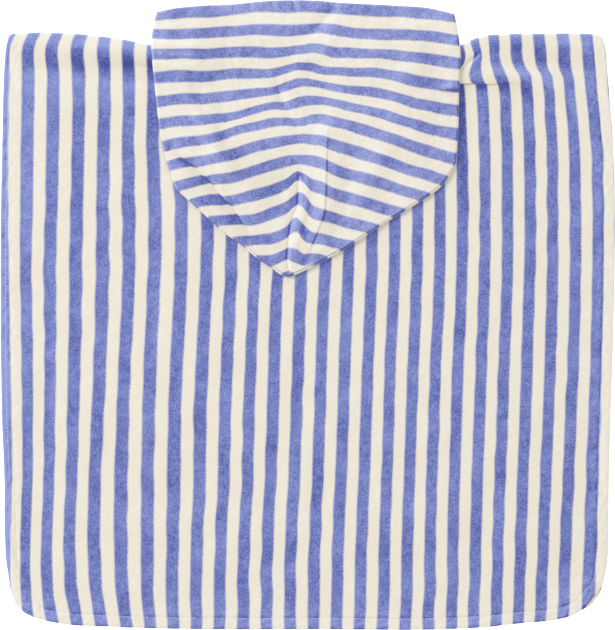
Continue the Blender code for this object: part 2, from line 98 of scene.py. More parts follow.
# %% Outlines of the panels
# The hemmed edge: left side down, bottom across, right side up (across, up).
HEM_EDGE = (
    (-292.8, 270.5), (-294.5, 263.5), (-296, 252), (-298, 212), (-298.8, 170), (-300.3, 100),
    (-300.5, 10), (-300.2, -40), (-299, -103), (-296.8, -160), (-296.2, -218), (-294.8, -242),
    (-292.5, -256), (-290.8, -268), (-287.5, -279), (-280.5, -288.5), (-269.5, -295), (-257.5, -298.8),
    (-240, -302.2), (-196, -305), (-105, -307.4), (10, -307.4), (128, -307.6), (169.5, -305.8),
    (208.5, -301.8), (240, -298.6), (258.5, -294.2), (266, -290.3), (272.5, -285.2), (276.4, -280.6),
    (279.8, -276.2), (284, -271.8), (288.3, -265.3), (291.3, -255), (293.8, -240.5), (294.8, -210),
    (295.2, -165), (296.8, -103), (299.3, -25), (301, 55), (300.9, 125), (299.3, 171), (296, 210.5),
    (292.8, 249.5), (291.2, 263), (289.5, 270.5),
)
# The top of the shoulder roll, left to right, with rounded corners (across, up).
FOLD_LINE = (
    (-293.5, 272.5), (-291.5, 274.6), (-288.5, 276), (-277, 276.6), (-262, 277.2), (-248.5, 276.8),
    (-223, 275.5), (-202.5, 273.3), (-179, 270), (-154.5, 264.8), (-115, 263), (120, 262), (149, 264),
    (163.5, 271), (175.5, 274.5), (197.5, 275.7), (257.5, 276.3), (275, 275.8), (283.5, 275.2),
    (287.5, 273.8), (290, 271.8),
)
# Necklines between the shoulder rolls, left to right (across, up).
BACK_NECK = ((-105.5, 254.5), (-81.0, 249.0), (-0.5, 245.5), (86.0, 249.0), (110.5, 254.5))
FRONT_NECK = ((-102.0, 235.5), (-66.0, 222.5), (0.5, 217.0), (71.0, 222.5), (106.0, 235.5))

# %% [markdown]
# ## Lines and surfaces in numbers
#
# A few helpers carry the whole garment. `ramp` and `bell` are the two soft shapes that everything is
# blended with. `smooth_line` draws a curve through stations. `knot_weights` does the same for values in a
# table, so one matrix product reads the table at thousands of points. `nearest` tells how far a point is
# from a line and how far along it, which is all that a hem, a crease or a row of stitches needs.

# %% Helpers for lines
WAVES = 16  # how many waves in all directions make an uneven surface


def smoothstep(x):
    """0 up to 1 as x goes from 0 to 1, with no corner at either end."""
    x = np.clip(x, 0.0, 1.0)
    return x * x * (3.0 - 2.0 * x)


def ramp(v, start, stop):
    """Smoothly from 0 where v is at start to 1 where it is at stop, both in millimetres."""
    return smoothstep((v - start * MM) / ((stop - start) * MM))


def bell(x):
    """1 where x is 0, falling softly to both sides, and next to nothing past 2."""
    return np.exp(-(x**2))


def soft_lines(table, d):
    """Lines along an edge, at distance d from it: rows of distance and reach in millimetres, and value."""
    return sum(value * bell((d - at * MM) / (reach * MM)) for at, reach, value in table)


def cubic(t):
    """Weights of the start, its slope, the end and its slope on a smooth curve between two stations."""
    return 2 * t**3 - 3 * t**2 + 1, t**3 - 2 * t**2 + t, 3 * t**2 - 2 * t**3, t**3 - t**2


def step_lengths(line):
    return np.linalg.norm(np.diff(line, axis=0), axis=1)


def length_of(line):
    return float(step_lengths(line).sum())


def smooth_line(stations, samples=24):
    """A smooth curve through stations in millimetres, as many points in metres."""
    p = np.array(stations, float) * MM
    run = step_lengths(p)[:, None]
    slope = np.diff(p, axis=0) / run
    tangent = np.empty_like(p)
    tangent[0] = slope[0]
    tangent[-1] = slope[-1]
    tangent[1:-1] = (slope[:-1] * run[1:] + slope[1:] * run[:-1]) / (run[1:] + run[:-1])
    start, leave, end, arrive = cubic(np.linspace(0.0, 1.0, samples, endpoint=False)[:, None])
    pieces = [
        start * p[k] + leave * run[k] * tangent[k] + end * p[k + 1] + arrive * run[k] * tangent[k + 1]
        for k in range(len(run))
    ]
    return np.vstack([*pieces, p[-1:]])


def read_line(line, measure, want):
    """The points of a line where its running measure has the wanted values."""
    return np.column_stack([np.interp(want, measure, line[:, k]) for k in (0, 1)])


def at_shares(line, shares):
    """The points of a line that lie at the given shares of its length."""
    along = np.concatenate([[0.0], np.cumsum(step_lengths(line))])
    return read_line(line, along, np.asarray(shares) * along[-1])


def even_points(line, step):
    """Points along a line, closer together where it bends."""
    run = np.diff(line, axis=0)
    bend = np.abs(np.gradient(np.unwrap(np.arctan2(run[:, 1], run[:, 0]))))
    measure = np.concatenate([[0.0], np.cumsum(step_lengths(line) / step + bend / EDGE_TURN)])
    count = int(math.ceil(measure[-1])) + 1
    return read_line(line, measure, np.linspace(0.0, measure[-1], count))


def normals(line):
    """Unit normals on the right-hand side of an open line."""
    along = np.gradient(line, axis=0)
    along /= np.linalg.norm(along, axis=1)[:, None]
    return np.column_stack([along[:, 1], -along[:, 0]])


def nearest(line, points):
    """How far each point is from a line, where on it as a share of its points, and if it is on its left."""
    away = np.full(len(points), np.inf)
    where = np.zeros(len(points))
    left = np.zeros(len(points), bool)
    for k, (start, step) in enumerate(zip(line[:-1], np.diff(line, axis=0))):
        share = np.clip((points - start) @ step / (step @ step), 0.0, 1.0)
        gap = points - start - share[:, None] * step
        length = np.hypot(gap[:, 0], gap[:, 1])
        closer = length < away
        away[closer] = length[closer]
        where[closer] = (k + share[closer]) / (len(line) - 1)
        left[closer] = (step[0] * gap[:, 1] > step[1] * gap[:, 0])[closer]
    return away, where, left


def knot_weights(knots, at):
    """Weights that read a smooth curve through one value per knot, a row for each place."""
    knots = np.asarray(knots, float)
    at = np.clip(at, knots[0], knots[-1])
    run = np.diff(knots)
    before, after = run[:-1], run[1:]
    inner = np.arange(1, len(knots) - 1)
    slope = np.zeros((len(knots), len(knots)))
    slope[inner, inner - 1] = -after / (before * (before + after))
    slope[inner, inner + 1] = before / (after * (before + after))
    slope[inner, inner] = -slope[inner, inner - 1] - slope[inner, inner + 1]
    slope[0, :2] = -1.0 / run[0], 1.0 / run[0]
    slope[-1, -2:] = -1.0 / run[-1], 1.0 / run[-1]
    k = np.clip(np.searchsorted(knots, at, side="right") - 1, 0, len(run) - 1)
    start, leave, end, arrive = cubic(((at - knots[k]) / run[k])[:, None])
    one = np.eye(len(knots))
    return start * one[k] + end * one[k + 1] + run[k, None] * (leave * slope[k] + arrive * slope[k + 1])


def read_table(table, at, column=1, **ends):
    """A column of a table in millimetres, read at places between those of its first column."""
    columns = np.array(table, float).T * MM
    return np.interp(at, columns[0], columns[column], **ends)


def soft_waves(x, y, size, seed):
    """A smooth uneven surface, about size millimetres from hump to hump, mostly between -1 and 1."""
    rng = np.random.default_rng(seed)
    turn, start = rng.uniform(0.0, 2 * math.pi, (2, WAVES))
    number = 2 * math.pi / (size * MM * rng.uniform(0.7, 1.6, WAVES))
    phase = np.outer(x, number * np.cos(turn)) + np.outer(y, number * np.sin(turn)) + start
    return np.cos(phase).sum(axis=1) / math.sqrt(WAVES)


def wander(table, x, y):
    """The uneven lie of the cloth: rows of height and size in millimetres, and seed."""
    return sum(height * MM * soft_waves(x, y, size, seed) for height, size, seed in table)


# %% [markdown]
# ## Folds and creases
#
# Cloth that is laid down and patted flat keeps two kinds of relief. There are broad swells, where air is
# caught between the layers, and creases that run on from a corner or a seam. A simulation gives both, but
# never in the places where this garment has them. So the swells are a table of soft oval ridges, as in
# the solids, and each crease is a line of stations with its own height or depth at each station. A
# bell-shaped section across the line makes it soft. Its reach says how far to each side it is felt.
#
# A crease that runs towards the lamp casts no shade of its own. So a third table holds soft ovals of tone,
# most of them painted shade and painted light along the folds, with painted shadows beside the hood and
# under the tuck's edge, and some uneven tone of the nap.

# %% Folds of the back
# Soft ridges: middle, length, width, turn from the X axis, height.
BACK_FOLDS = (
    # across, up, length, width, turn, rise
    (-222, 212, 200, 54, -3, 1), (212, 246, 120, 22, -38, 0.4), (268, 196, 130, 30, -58, 0.5),
    (-120, 60, 320, 90, 82, 0.5), (150, -70, 380, 110, 96, 0.5), (10, -215, 420, 90, 3, 0.4),
)
# Creases: name, reach to the left and right along the line, then stations (across, up, rise).
BACK_CREASES = (
    ("trough under the left shoulder's roll", (9, 9), (-292, 243, 0), (-270, 242, -0.6),
     (-229.5, 239.5, -1), (-203.5, 238, -1.2), (-185.5, 236.5, -1.3), (-151.5, 233.5, -1.3),
     (-134.5, 232, -0.8)),
    ("fall of the roll to that trough", (11, 9), (-216, 249.5, 0), (-200, 247.6, -0.6),
     (-185, 246.2, -0.9), (-165, 244.3, -1.1), (-150, 242.5, -1.2), (-138, 241, -1.2),
     (-127, 240.2, -0.5)),
    ("sharp crease at the foot of it", (0.9, 4.5), (-182, 245.8, 0), (-163, 244.2, -0.8),
     (-150, 242.5, -1.1), (-138, 241, -1.1), (-132, 240.6, -0.9), (-126, 240.2, -0.4)),
    ("swell of the left shoulder's roll", (8, 10), (-281.5, 262, 0), (-252, 260, 0.6),
     (-225, 259.5, 1.1), (-179, 256.5, 1.9), (-155, 254.5, 2), (-134.5, 252.5, 1.9), (-120, 251, 1.6)),
    ("trough under the right shoulder's roll", (7.5, 7.5), (157.5, 256, -0.6), (169, 260.5, -0.9),
     (188.5, 260, -1.1), (203.5, 258, -1.1), (227, 249.5, -1.1), (250, 243.5, -0.9),
     (271, 228.5, -0.3)),
    ("ridge that runs down from the tuck", (8, 7), (151.5, 231.5, 0.6), (167, 231.5, 0.9),
     (184, 232, 1.4), (206, 231.5, 1.8), (228, 224.5, 1.8), (248, 206, 1.4), (268, 162, 0)),
    ("trough beside that ridge", (5, 8), (200, 227.5, -0.5), (209, 222, -1.3), (217, 212, -1.5),
     (227, 198, -1.3), (241, 178, -0.9), (256, 156, -0.6), (264, 128, 0)),
    ("pinch beside the hood", (2, 1.3), (167, 256.5, 0), (164.8, 253.6, -1.3), (161.5, 250.4, -2.4),
     (157.5, 246.8, -2), (153.5, 243.3, -1.4), (149.5, 239.5, -0.8), (144, 234.5, 0)),
    ("roll of the left hem", (3.6, 3.6), (-291, 250, 0), (-293.5, 215, 0.3), (-296, 100, 0.35),
     (-296, -40, 0.35), (-292.7, -160, 0.55), (-291, -225, 0.9), (-286.5, -265, 0.8),
     (-279.5, -281, 0.5), (-262, -292, 0)),
)
# Soft ovals of tone: painted shade and light along the folds, painted shadows beside the hood and under
# the tuck's edge, and some uneven tone of the nap.
BACK_PAINTED_SHADE_AND_NAP = (
    # across, up, length, width, turn, tone
    (172, 224.6, 62, 5, 0, -0.32), (-178, 243.6, 60, 5, -2, -0.26), (-190, 241, 110, 8, -1, -0.14),
    (-186, 253, 100, 8, -1, 0.16), (-276, 150, 270, 28, 91, 0.2), (-246, -50, 230, 20, 90, 0.16),
    (-280, -125, 130, 26, 90, 0.12), (-148, 15, 280, 26, 90, 0.09), (-186, 82, 120, 50, 90, 0.07),
    (-225, 241, 110, 18, -6, -0.2), (-165, 240, 90, 16, -8, -0.22), (-172, 225, 50, 11, -4, 0.2),
    (-214, 268, 210, 16, -2, 0.26), (-218, 214, 150, 28, -4, 0.2), (-166, 198, 62, 36, 0, -0.2),
    (-154, 202, 110, 14, 94, -0.2), (153, 186, 150, 15, 90, -0.5), (166, 206, 40, 26, 0, -0.18),
    (180, 223, 76, 8, 0, -0.5), (162.5, 252, 18, 6, 54, -0.3), (262, 267, 84, 20, -4, 0.36),
    (242, 247, 66, 12, -6, -0.24), (199, 239.5, 60, 15, -4, 0.5), (238, 228.5, 42, 13, -36, 0.32),
    (261, 201, 56, 14, -68, 0.42), (218, 213, 56, 16, -52, -0.3), (-66, 60, 150, 20, -42, -0.22),
    (62, 76, 130, 18, 32, -0.15), (225, -238, 110, 90, 0, -0.12), (264, -110, 260, 30, 90, -0.1),
    (-140, -262, 280, 46, 0, -0.06),
)

# %% Helpers for folds
NARROW = 3.0  # a crease that reaches less far than this, in millimetres, gets rows of points of its own
TROUGH_LIMIT = 0.7 * MM  # the nap takes up this much of a trough before the cloth below is reached
CREASE_SAMPLES = 5  # points of a crease's line from one station to the next
CREASE_FELT = 3.0  # how many times its reach away a crease is still worked out
OVAL = 2.0  # how quickly an oval falls off, which leaves an eighth of its height at its rim


def ridges(table, x, y):
    """Height of the soft ridges of a table at x, y."""
    height = np.zeros_like(x)
    for across, up, length, width, turn, rise in table:
        c = math.cos(math.radians(turn))
        s = math.sin(math.radians(turn))
        dx = x - across * MM
        dy = y - up * MM
        along = (dx * c + dy * s) / (length * MM / 2)
        aside = (dy * c - dx * s) / (width * MM / 2)
        height += rise * MM * np.exp(-(along**2) * OVAL - aside**2 * OVAL)
    return height


def crease_line(stations):
    """The smooth line through the stations of a crease."""
    return smooth_line([station[:2] for station in stations], CREASE_SAMPLES)


def creases(table, x, y):
    """Height of soft troughs and ridges, each along a smooth line through its stations."""
    points = np.column_stack([x, y])
    height = np.zeros_like(x)
    for _, reach, *stations in table:
        line = crease_line(stations)
        box = max(reach) * MM * CREASE_FELT
        close = np.all((points > line.min(axis=0) - box) & (points < line.max(axis=0) + box), axis=1)
        if not close.any():
            continue
        away, where, left = nearest(line, points[close])
        rise = knot_weights(np.linspace(0.0, 1.0, len(stations)), where) @ [s[2] * MM for s in stations]
        height[close] += rise * bell(away / (np.where(left, reach[0], reach[1]) * MM))
    return height


# %% [markdown]
# ## The tuck in the right shoulder
#
# The stripes jump there, because a few millimetres of cloth are laid over in a small tuck that dies out
# to the right. Its upper side lies on its lower side. Its edge is rounded and bulges over a groove, and
# that gives the thin dark line under it, which painted shade makes darker.

# %% Tuck
# Its edge, and how far the upper side stands over the lower one.
TUCK = (
    # across, up, drop
    (128, 228, 0), (149.5, 227.3, 2.6), (173, 227, 2.4), (187, 226.8, 1.4), (196, 226.6, 0.5),
    (204, 226.5, 0),
)
TUCK_FADE = 30.0 * MM  # length over which the tuck's upper side settles
TUCK_KEEPS = 0.4  # share of the drop that is left after it
TUCK_FULL = 1.8 * MM  # a drop from which on the edge bulges fully
LEDGE_RUN = 1.2 * MM  # width of the tuck's rounded edge
LEDGE_OVERHANG = 1.3 * MM  # how far that edge bulges over the cloth below it
LEDGE_ROWS = 0.0, 0.12, 0.3, 0.5, 0.72, 1.0  # rows of points up the rounded edge, as shares of it
LEDGE_FOOT = 0.9 * MM  # depth of the groove at its foot
LEDGE_FOOT_REACH = 2.2 * MM


def tuck_line(x):
    return read_table(TUCK, x)


def tuck_drop(x):
    return read_table(TUCK, x, 2, left=0.0, right=0.0)


def up_the_ledge(x, y):
    """Share of the tuck's rounded edge that lies below a place."""
    return np.clip((y - tuck_line(x)) / LEDGE_RUN, 0.0, 1.0)


def bulge(x):
    """How much of the tuck's bulge and groove is there."""
    return np.minimum(tuck_drop(x) / TUCK_FULL, 1.0)


def tuck_rise(x, y):
    """Height of the upper side of the tuck over the flat cloth, with its rounded edge."""
    settles = 1.0 - (1.0 - TUCK_KEEPS) * smoothstep((y - tuck_line(x)) / TUCK_FADE)
    return tuck_drop(x) * np.sqrt(1.0 - (1.0 - up_the_ledge(x, y)) ** 2) * settles


def ledge_shift(x, y):
    """How far the tuck's edge bulges over the cloth below it."""
    return LEDGE_OVERHANG * np.sin(math.pi * up_the_ledge(x, y)) * bulge(x)


def ledge_foot(x, y):
    """Depth of the groove under the tuck's edge."""
    below = (y - tuck_line(x)) / LEDGE_FOOT_REACH
    return LEDGE_FOOT * bell(below) * (below <= 0.0) * bulge(x)


# %% [markdown]
# ## The surface of the panels
#
# Every height is worked out from the distance to the hemmed edge and from the place on the cloth. The hem
# is thicker, its fold is round, the stitches pull a groove, and the back rolls up to the shoulder fold.
# Working from formulas keeps the two skins of the cloth apart by its thickness, and any net of points can
# be laid over them.

# %% Heights of the panels
PUCKER = 0.22 * MM  # how high the cloth puckers on the hem
PUCKER_WAVES = 9, 11  # size in millimetres, seed
BACK_WANDER = (
    # height, size, seed
    (0.22, 52, 3),
    (0.08, 17, 5),
)


def fold_line(x):
    """Where the top of the shoulder roll lies."""
    return read_table(FOLD_LINE, x)


def roll_start(x):
    """Where the shoulder goes over into the roll."""
    return fold_line(x) - FOLD_RADIUS


def on_shoulder(x):
    """1 on the shoulders and 0 along the neck, where the cloth does not roll over."""
    return smoothstep(1.0 - np.minimum(x - NECK_LEFT, NECK_RIGHT - x) / NECK_FADE)


def hem_share(d):
    """1 on the turned hem and 0 on the single cloth, at distance d from the hem's edge."""
    return 1.0 - smoothstep((d - HEM_WIDTH) / HEM_STEP)


def hem_rounding(d):
    """Share of the thickness that is left near the folded edge of the hem."""
    inward = np.clip(d / HEM_ROUND, 0.0, 1.0)
    return EDGE_SHARE + (1.0 - EDGE_SHARE) * np.sqrt(1.0 - (1.0 - inward) ** 2)


def thickness(d):
    return WALL + (HEM_WALL - WALL) * hem_share(d)


def stitch_dip(d):
    """How far the stitches pull the cloth down, less the puff of the cloth beside them."""
    dip = STITCH_DIP * bell((d - HEM_WIDTH) / STITCH_REACH)
    return dip - PUFF * bell((d - HEM_WIDTH - BESIDE_STITCHES) / PUFF_REACH)


def back_relief(x, y):
    """Everything that stands above or sinks below the flat back."""
    folds = ridges(BACK_FOLDS, x, y) + tuck_rise(x, y) + creases(BACK_CREASES, x, y)
    return folds + wander(BACK_WANDER, x, y)


def rolled(x, y, flat, relief):
    """A height on the back, drawn up to the roll of the shoulders, where the relief dies out."""
    below = roll_start(x) - y
    swing = smoothstep(1.0 - (below - FOLD_LEVEL) / FOLD_EASE) * on_shoulder(x)
    lost = (1.0 - smoothstep(below / FOLD_LEVEL)) * on_shoulder(x)
    return flat + (2 * FOLD_RADIUS - flat) * swing + relief * (1.0 - lost)


def back_skins(x, y, d):
    """Heights of the back's upper and lower skins."""
    flat = thickness(d) + CLEARANCE + thickness(d)
    pucker = PUCKER * (1.0 + soft_waves(x, y, *PUCKER_WAVES)) * hem_share(d)
    height = rolled(x, y, flat, back_relief(x, y))
    top = np.maximum(height, flat - TROUGH_LIMIT) + pucker
    low = np.maximum(height, flat) - thickness(d)
    middle = (top + low) / 2
    half = (top - low) / 2 * hem_rounding(d)
    return middle + half - stitch_dip(d) - ledge_foot(x, y), middle - half


# %% [markdown]
# ## Tone of the panels' nap
#
# The tone says how light the nap looks. The hem is pressed and so looks lighter, while painted shade
# darkens its outermost edge, where it rolls over, and a strip just inside the stitches. The left hem has
# rolled over a little on its way down: the crest of the roll is a painted bright line, painted shade
# darkens the side that falls to the edge, and low down there is a painted shade at its foot. The roll of
# the shoulders gets a painted sheen.

# %% Tone of the panels
# Lines of painted shade along the hem: how far in from its edge, reach, tone.
HEM_PAINTED_SHADE = (
    (12.3, 1.2, -0.05),  # painted shade just inside the stitches
    (0, 1.2, -0.25),  # painted shade along the outermost edge, where the hem rolls over
)
LEFT_HEM_PAINTED_LINES = (
    (5.4, 0.9, 0.36),  # painted highlight on the crest of its roll
    (3, 1.1, -0.2),  # painted shade on the outer side of it
)
# Painted shade at the foot of the left hem's roll, low down.
LEFT_HEM_PAINTED_FOOT = ((10.8, 0.8, -1.2),)
HEM_PRESSED = 0.24  # how much lighter the pressed hem is
HEM_PRESSED_FROM = 11.4, 10.4  # in from its edge, where that begins and where it is full, in millimetres
LEFT_HEM_PAINTED_LIGHT = 0.1  # how much lighter the left hem is painted, where it faces the lamp
LEFT_HEM_FROM = -262, -282  # across, where the left hem's tone begins and where it is full
LEFT_FOOT_FROM = -160, -220  # up, the same for the painted shade at the foot of its roll
LEFT_FOOT_TO = -275, -255  # up, where that shade has ended and where it is still full
ROLL_PAINTED_SHEEN = 0.2  # painted sheen: how much lighter the nap is painted on the roll of the shoulders
ROLL_PAINTED_SHEEN_REACH = 6.0 * MM


def hem_tone_and_painted_shade(d):
    """Tone of a hem at distance d from its edge: lighter where it is pressed, with painted shade."""
    return HEM_PRESSED * ramp(d, *HEM_PRESSED_FROM) + soft_lines(HEM_PAINTED_SHADE, d)


def left_hem_painted_light_and_shade(x, y, d):
    """What the roll of the left hem adds to it: painted light, a painted highlight on its crest, and painted
    shade beside it and at its foot.
    """
    low_down = ramp(y, *LEFT_FOOT_FROM) * ramp(y, *LEFT_FOOT_TO)
    along = LEFT_HEM_PAINTED_LIGHT + soft_lines(LEFT_HEM_PAINTED_LINES, d) + soft_lines(LEFT_HEM_PAINTED_FOOT, d) * low_down
    return along * ramp(x, *LEFT_HEM_FROM)


def back_tone_and_painted_light(x, y, d):
    """Tone of the back: the hem, painted light and shade with some uneven tone, and a painted sheen on the
    roll.
    """
    roll = ROLL_PAINTED_SHEEN * bell((fold_line(x) - y) / ROLL_PAINTED_SHEEN_REACH) * on_shoulder(x)
    return hem_tone_and_painted_shade(d) + left_hem_painted_light_and_shade(x, y, d) + ridges(BACK_PAINTED_SHADE_AND_NAP, x, y) / MM + roll


# %% [markdown]
# ## Stripes that follow the cloth
#
# The stripes are woven in, so they are straight on the bolt and only bend because the cloth is pulled,
# tucked and creased. A picture of stripes projected from above would be wrong at every fold. Here each
# point of the cloth is given a stripe number instead: a whole number in the middle of a blue stripe, and
# a half in the middle of a cream one. The material turns that number into colour, so both edges of a
# stripe stay equally soft.
#
# Where the stripes lie is known at a few heights, for a few of the stripes, and the numbers between are
# read off a smooth surface through the table.

# %% Stripes of the body
BODY_PITCH = 23.2 * MM
# Middle of each named stripe of the body, counted from the left, at several heights.
BODY_COUNTS = (0, 2, 4, 6, 8, 11, 15, 19, 22, 25, 26)
BODY_STRIPES = (
    # up, then across for each stripe
    (-307, -294.5, -248.5, -200.5, -153.5, -109, -39.5, 51, 140.5, 206, 273.5, 299.5),
    (-270, -295.5, -254.5, -206.5, -156.5, -109, -40, 52, 142, 207.5, 275, 301),
    (-220, -295.5, -255.5, -209, -156.5, -108, -39, 53, 142.5, 209, 277, 303),
    (-160, -294.5, -253, -208, -156.5, -105.5, -36, 55.5, 144, 211, 279, 304),
    (-100, -295, -252.5, -205.5, -155.5, -105, -34, 57.5, 146, 213.5, 281, 305),
    (-50, -296, -252, -203.5, -154, -103, -32.5, 59, 147.5, 215, 282.5, 304.5),
    (0, -297, -252, -201.5, -151.5, -100.5, -31, 61, 150, 216.5, 284, 306),
    (50, -298, -252.5, -200.5, -149.5, -98.5, -28.5, 63, 151.5, 218, 284.5, 306.5),
    (110, -299, -250.5, -200.5, -149.5, -98, -28, 63, 152, 218, 284.5, 306.5),
    (170, -299, -249.5, -199.5, -151.5, -101, -31, 61, 151, 217.5, 283, 305),
    (225, -297.5, -248.5, -198.5, -150.5, -101.5, -33.5, 58, 148, 214.5, 277.5, 299.5),
    (268, -293.6, -247.7, -198.6, -151, -103, -35.5, 55.5, 144.5, 210, 275, 296.5),
    (278, -288.8, -242.5, -196.2, -150, -103, -35.5, 55.5, 144.5, 210, 274.5, 296),
)
# The same above the tuck, which takes up some of the cloth.
SHOULDER_COUNTS = (19, 20, 21, 22, 23, 24, 25)
SHOULDER_STRIPES = (
    # up, then across for each stripe
    (228, 139, 166.4, 191.5, 214.2, 237.3, 256, 277.5),
    (234, 139.5, 164.6, 189.2, 213.5, 234.8, 254.4, 276.5),
    (240, 143, 164.4, 187.2, 209.8, 231, 253, 276.3),
    (245, 148, 164.9, 184.8, 207.2, 229.4, 252.4, 276),
    (254, 150, 166.7, 182.4, 204.9, 227.9, 251.6, 275),
    (263, 148.5, 164.2, 182.3, 204.4, 227, 251, 274),
    (272, 146, 162.5, 182, 203.5, 226, 249.2, 272.6),
)
SHOULDER_FROM = 125, 140  # across, where the shoulder's table begins to count and where it counts alone
PAST_TUCK = 192, 212  # across, where the tuck dies out, so that one table passes softly into the other
PAST_TUCK_RUN = 14.0 * MM  # how much longer that passage is beyond it
WAVER = 0.016  # how much the stripes waver, in pitches
BODY_WAVER = 42, 7  # size in millimetres, seed
ROUNDS = 12


def count_stripes(line, counts, where, pitch):
    """Stripe numbers of points, from the places of the named stripes on each point's own row."""
    count = np.full(len(where), float(np.mean(counts)))
    for _ in range(ROUNDS):  # each round brings the number closer to the one whose stripe lies there
        near = np.clip(count, counts[0], counts[-1])
        found = (knot_weights(counts, near) * line).sum(axis=1) + (count - near) * pitch
        count += (where - found) / pitch
    return count


def stripe_rows(table, counts, x, y):
    """Stripe numbers across the body, from a table of heights."""
    table = np.array(table) * MM
    return count_stripes(knot_weights(table[:, 0], y) @ table[:, 1:], counts, x, BODY_PITCH)


def body_stripes(x, y):
    """Stripe number of each point of the body. The stripes waver a little, as woven ones do."""
    below = stripe_rows(BODY_STRIPES, BODY_COUNTS, x, y)
    above = stripe_rows(SHOULDER_STRIPES, SHOULDER_COUNTS, x, y)
    run = LEDGE_RUN + PAST_TUCK_RUN * ramp(x, *PAST_TUCK)
    share = smoothstep((y - tuck_line(x)) / run) * ramp(x, *SHOULDER_FROM)
    return below + (above - below) * share + WAVER * soft_waves(x, y, *BODY_WAVER)


# %% [markdown]
# ## A net of points over a panel
#
# The outline, the hem's offset lines, the tuck and the narrow creases must be edges of the net, or they
# would look chewed. A constrained Delaunay triangulation keeps them and fills the rest with an even
# lattice. It works in millimetres, because it merges points by a fixed distance. The same net serves both
# skins, which are then joined round the free edges into one closed wall of cloth.
#
# Two values go with each point: its stripe number and its tone. To the tone comes painted light and shade:
# the cloth is painted lighter where it tilts towards the lamp at the top left and darker where it tilts
# away, and lighter where it stands on edge, a painted sheen.

# %% Nets and shells
HEM_ROWS = 0.12, 0.4, 0.8, 1.4, 2.4, 3.6, 4.5, 5.5, 7, 8.6, 9.7, 10.3, 10.7, 11, 11.3, 11.7, 12.5, 14.5
HEM_OFFSETS = np.array(HEM_ROWS) * MM  # rows of points beside the hem's edge
MERGED = 1e-3  # millimetres within which the net's points become one
# Painted light and shade: the tone is lighter where the cloth tilts towards the lamp at the top left and darker
# where it tilts away.
PAINTED_LIGHT_FROM = np.array([-0.72, 0.69, 0.0])  # the side of the lamp, from which the painted light falls
PAINTED_SLOPE_SHADE = 2.1  # how much painted light and shade the slope of the cloth gets in its tone
PAINTED_SLOPE_LIMITS = -0.36, 0.36
PAINTED_SLOPE_LEVEL = 0.4  # no more of it where the cloth is steeper than this (1 is level)
PAINTED_SLOPE_FADE = 0.45
PAINTED_EDGE_SHEEN = 0.3  # painted sheen: how much lighter the nap is painted where the cloth stands on edge
PAINTED_EDGE_SHEEN_POWER = 1.5  # how quickly that sets in


def panel_net(outline, lines, step, keep_off):
    """Points and triangles that fill a closed outline and follow the lines inside it.

    keep_off lists lines with the distance that the lattice keeps from each. The third value gives,
    for each point of the outline, its place among the points.
    """
    points = [tuple(p / MM) for p in outline]
    edges = [(k, (k + 1) % len(outline)) for k in range(len(outline))]
    for line in lines:
        first = len(points)
        points += [tuple(p / MM) for p in line]
        edges += [(first + k, first + k + 1) for k in range(len(line) - 1)]
    low = outline.min(axis=0)
    high = outline.max(axis=0)
    count = np.ceil((high - low) / step).astype(int)
    across = np.linspace(low[0], high[0], count[0] + 1)
    up = np.linspace(low[1], high[1], count[1] + 1)
    inner = np.array([(x, y) for x in across for y in up])
    for line, gap in keep_off:
        inner = inner[nearest(line, inner)[0] > gap]
    points += [tuple(p / MM) for p in inner]
    verts, _, faces, origins, _, _ = delaunay_2d_cdt(points, edges, [], 1, MERGED)
    place = {old: new for new, olds in enumerate(origins) for old in olds}
    xy = np.array([tuple(v) for v in verts]) * MM
    return xy, [tuple(face) for face in faces], [place[k] for k in range(len(outline))]


def new_object(name, data):
    """A new object at the origin, linked into the scene."""
    made = bpy.data.objects.new(name, data)
    bpy.context.collection.objects.link(made)
    return made


def close_shell(name, outer, inner, faces, stripe, tone):
    """Join two skins with the same faces into one wall of cloth, with its values at each point.

    The points of each skin and their values come as lists of arrays that follow each other.
    """
    points = np.vstack([*outer, *inner])
    count = len(points) // 2
    borders = [(a, b) for face in faces for a, b in zip(face, (*face[1:], face[0]))]
    uses = Counter((min(border), max(border)) for border in borders)
    walls = [tuple(k + count for k in reversed(face)) for face in faces]
    walls += [(b, a, a + count, b + count) for a, b in borders if uses[min(a, b), max(a, b)] == 1]
    mesh = bpy.data.meshes.new(name)
    mesh.from_pydata(points.tolist(), [], [*faces, *walls])
    for key, value in (("stripe", stripe), ("tone", tone)):
        value = np.tile(np.concatenate(value), 2).astype(np.float32)
        mesh.attributes.new(key, "FLOAT", "POINT").data.foreach_set("value", value)
    bm = bmesh.new()
    bm.from_mesh(mesh)
    bmesh.ops.delete(bm, geom=[v for v in bm.verts if not v.link_faces], context="VERTS")
    bmesh.ops.recalc_face_normals(bm, faces=bm.faces)
    bm.to_mesh(mesh)
    bm.free()
    mesh.shade_smooth()
    facing = np.empty(len(mesh.vertices) * 3, np.float32)
    mesh.vertex_normals.foreach_get("vector", facing)
    facing = facing.reshape(-1, 3)
    level = np.abs(facing[:, 2])
    tone = np.empty(len(mesh.vertices), np.float32)
    mesh.attributes["tone"].data.foreach_get("value", tone)
    # Painted shade and light from the slope of the cloth towards the lamp.
    painted_slope_tone = PAINTED_SLOPE_SHADE * np.clip(facing @ PAINTED_LIGHT_FROM, *PAINTED_SLOPE_LIMITS)
    tone += painted_slope_tone * smoothstep((level - PAINTED_SLOPE_LEVEL) / PAINTED_SLOPE_FADE)
    # A painted sheen where the cloth stands on edge.
    tone += PAINTED_EDGE_SHEEN * (1.0 - level) ** PAINTED_EDGE_SHEEN_POWER
    mesh.attributes["tone"].data.foreach_set("value", tone)
    triangles = sum(len(p.vertices) - 2 for p in mesh.polygons)
    print(f"{name}: {len(mesh.vertices)} points, {triangles} triangles")
    return new_object(name, mesh)


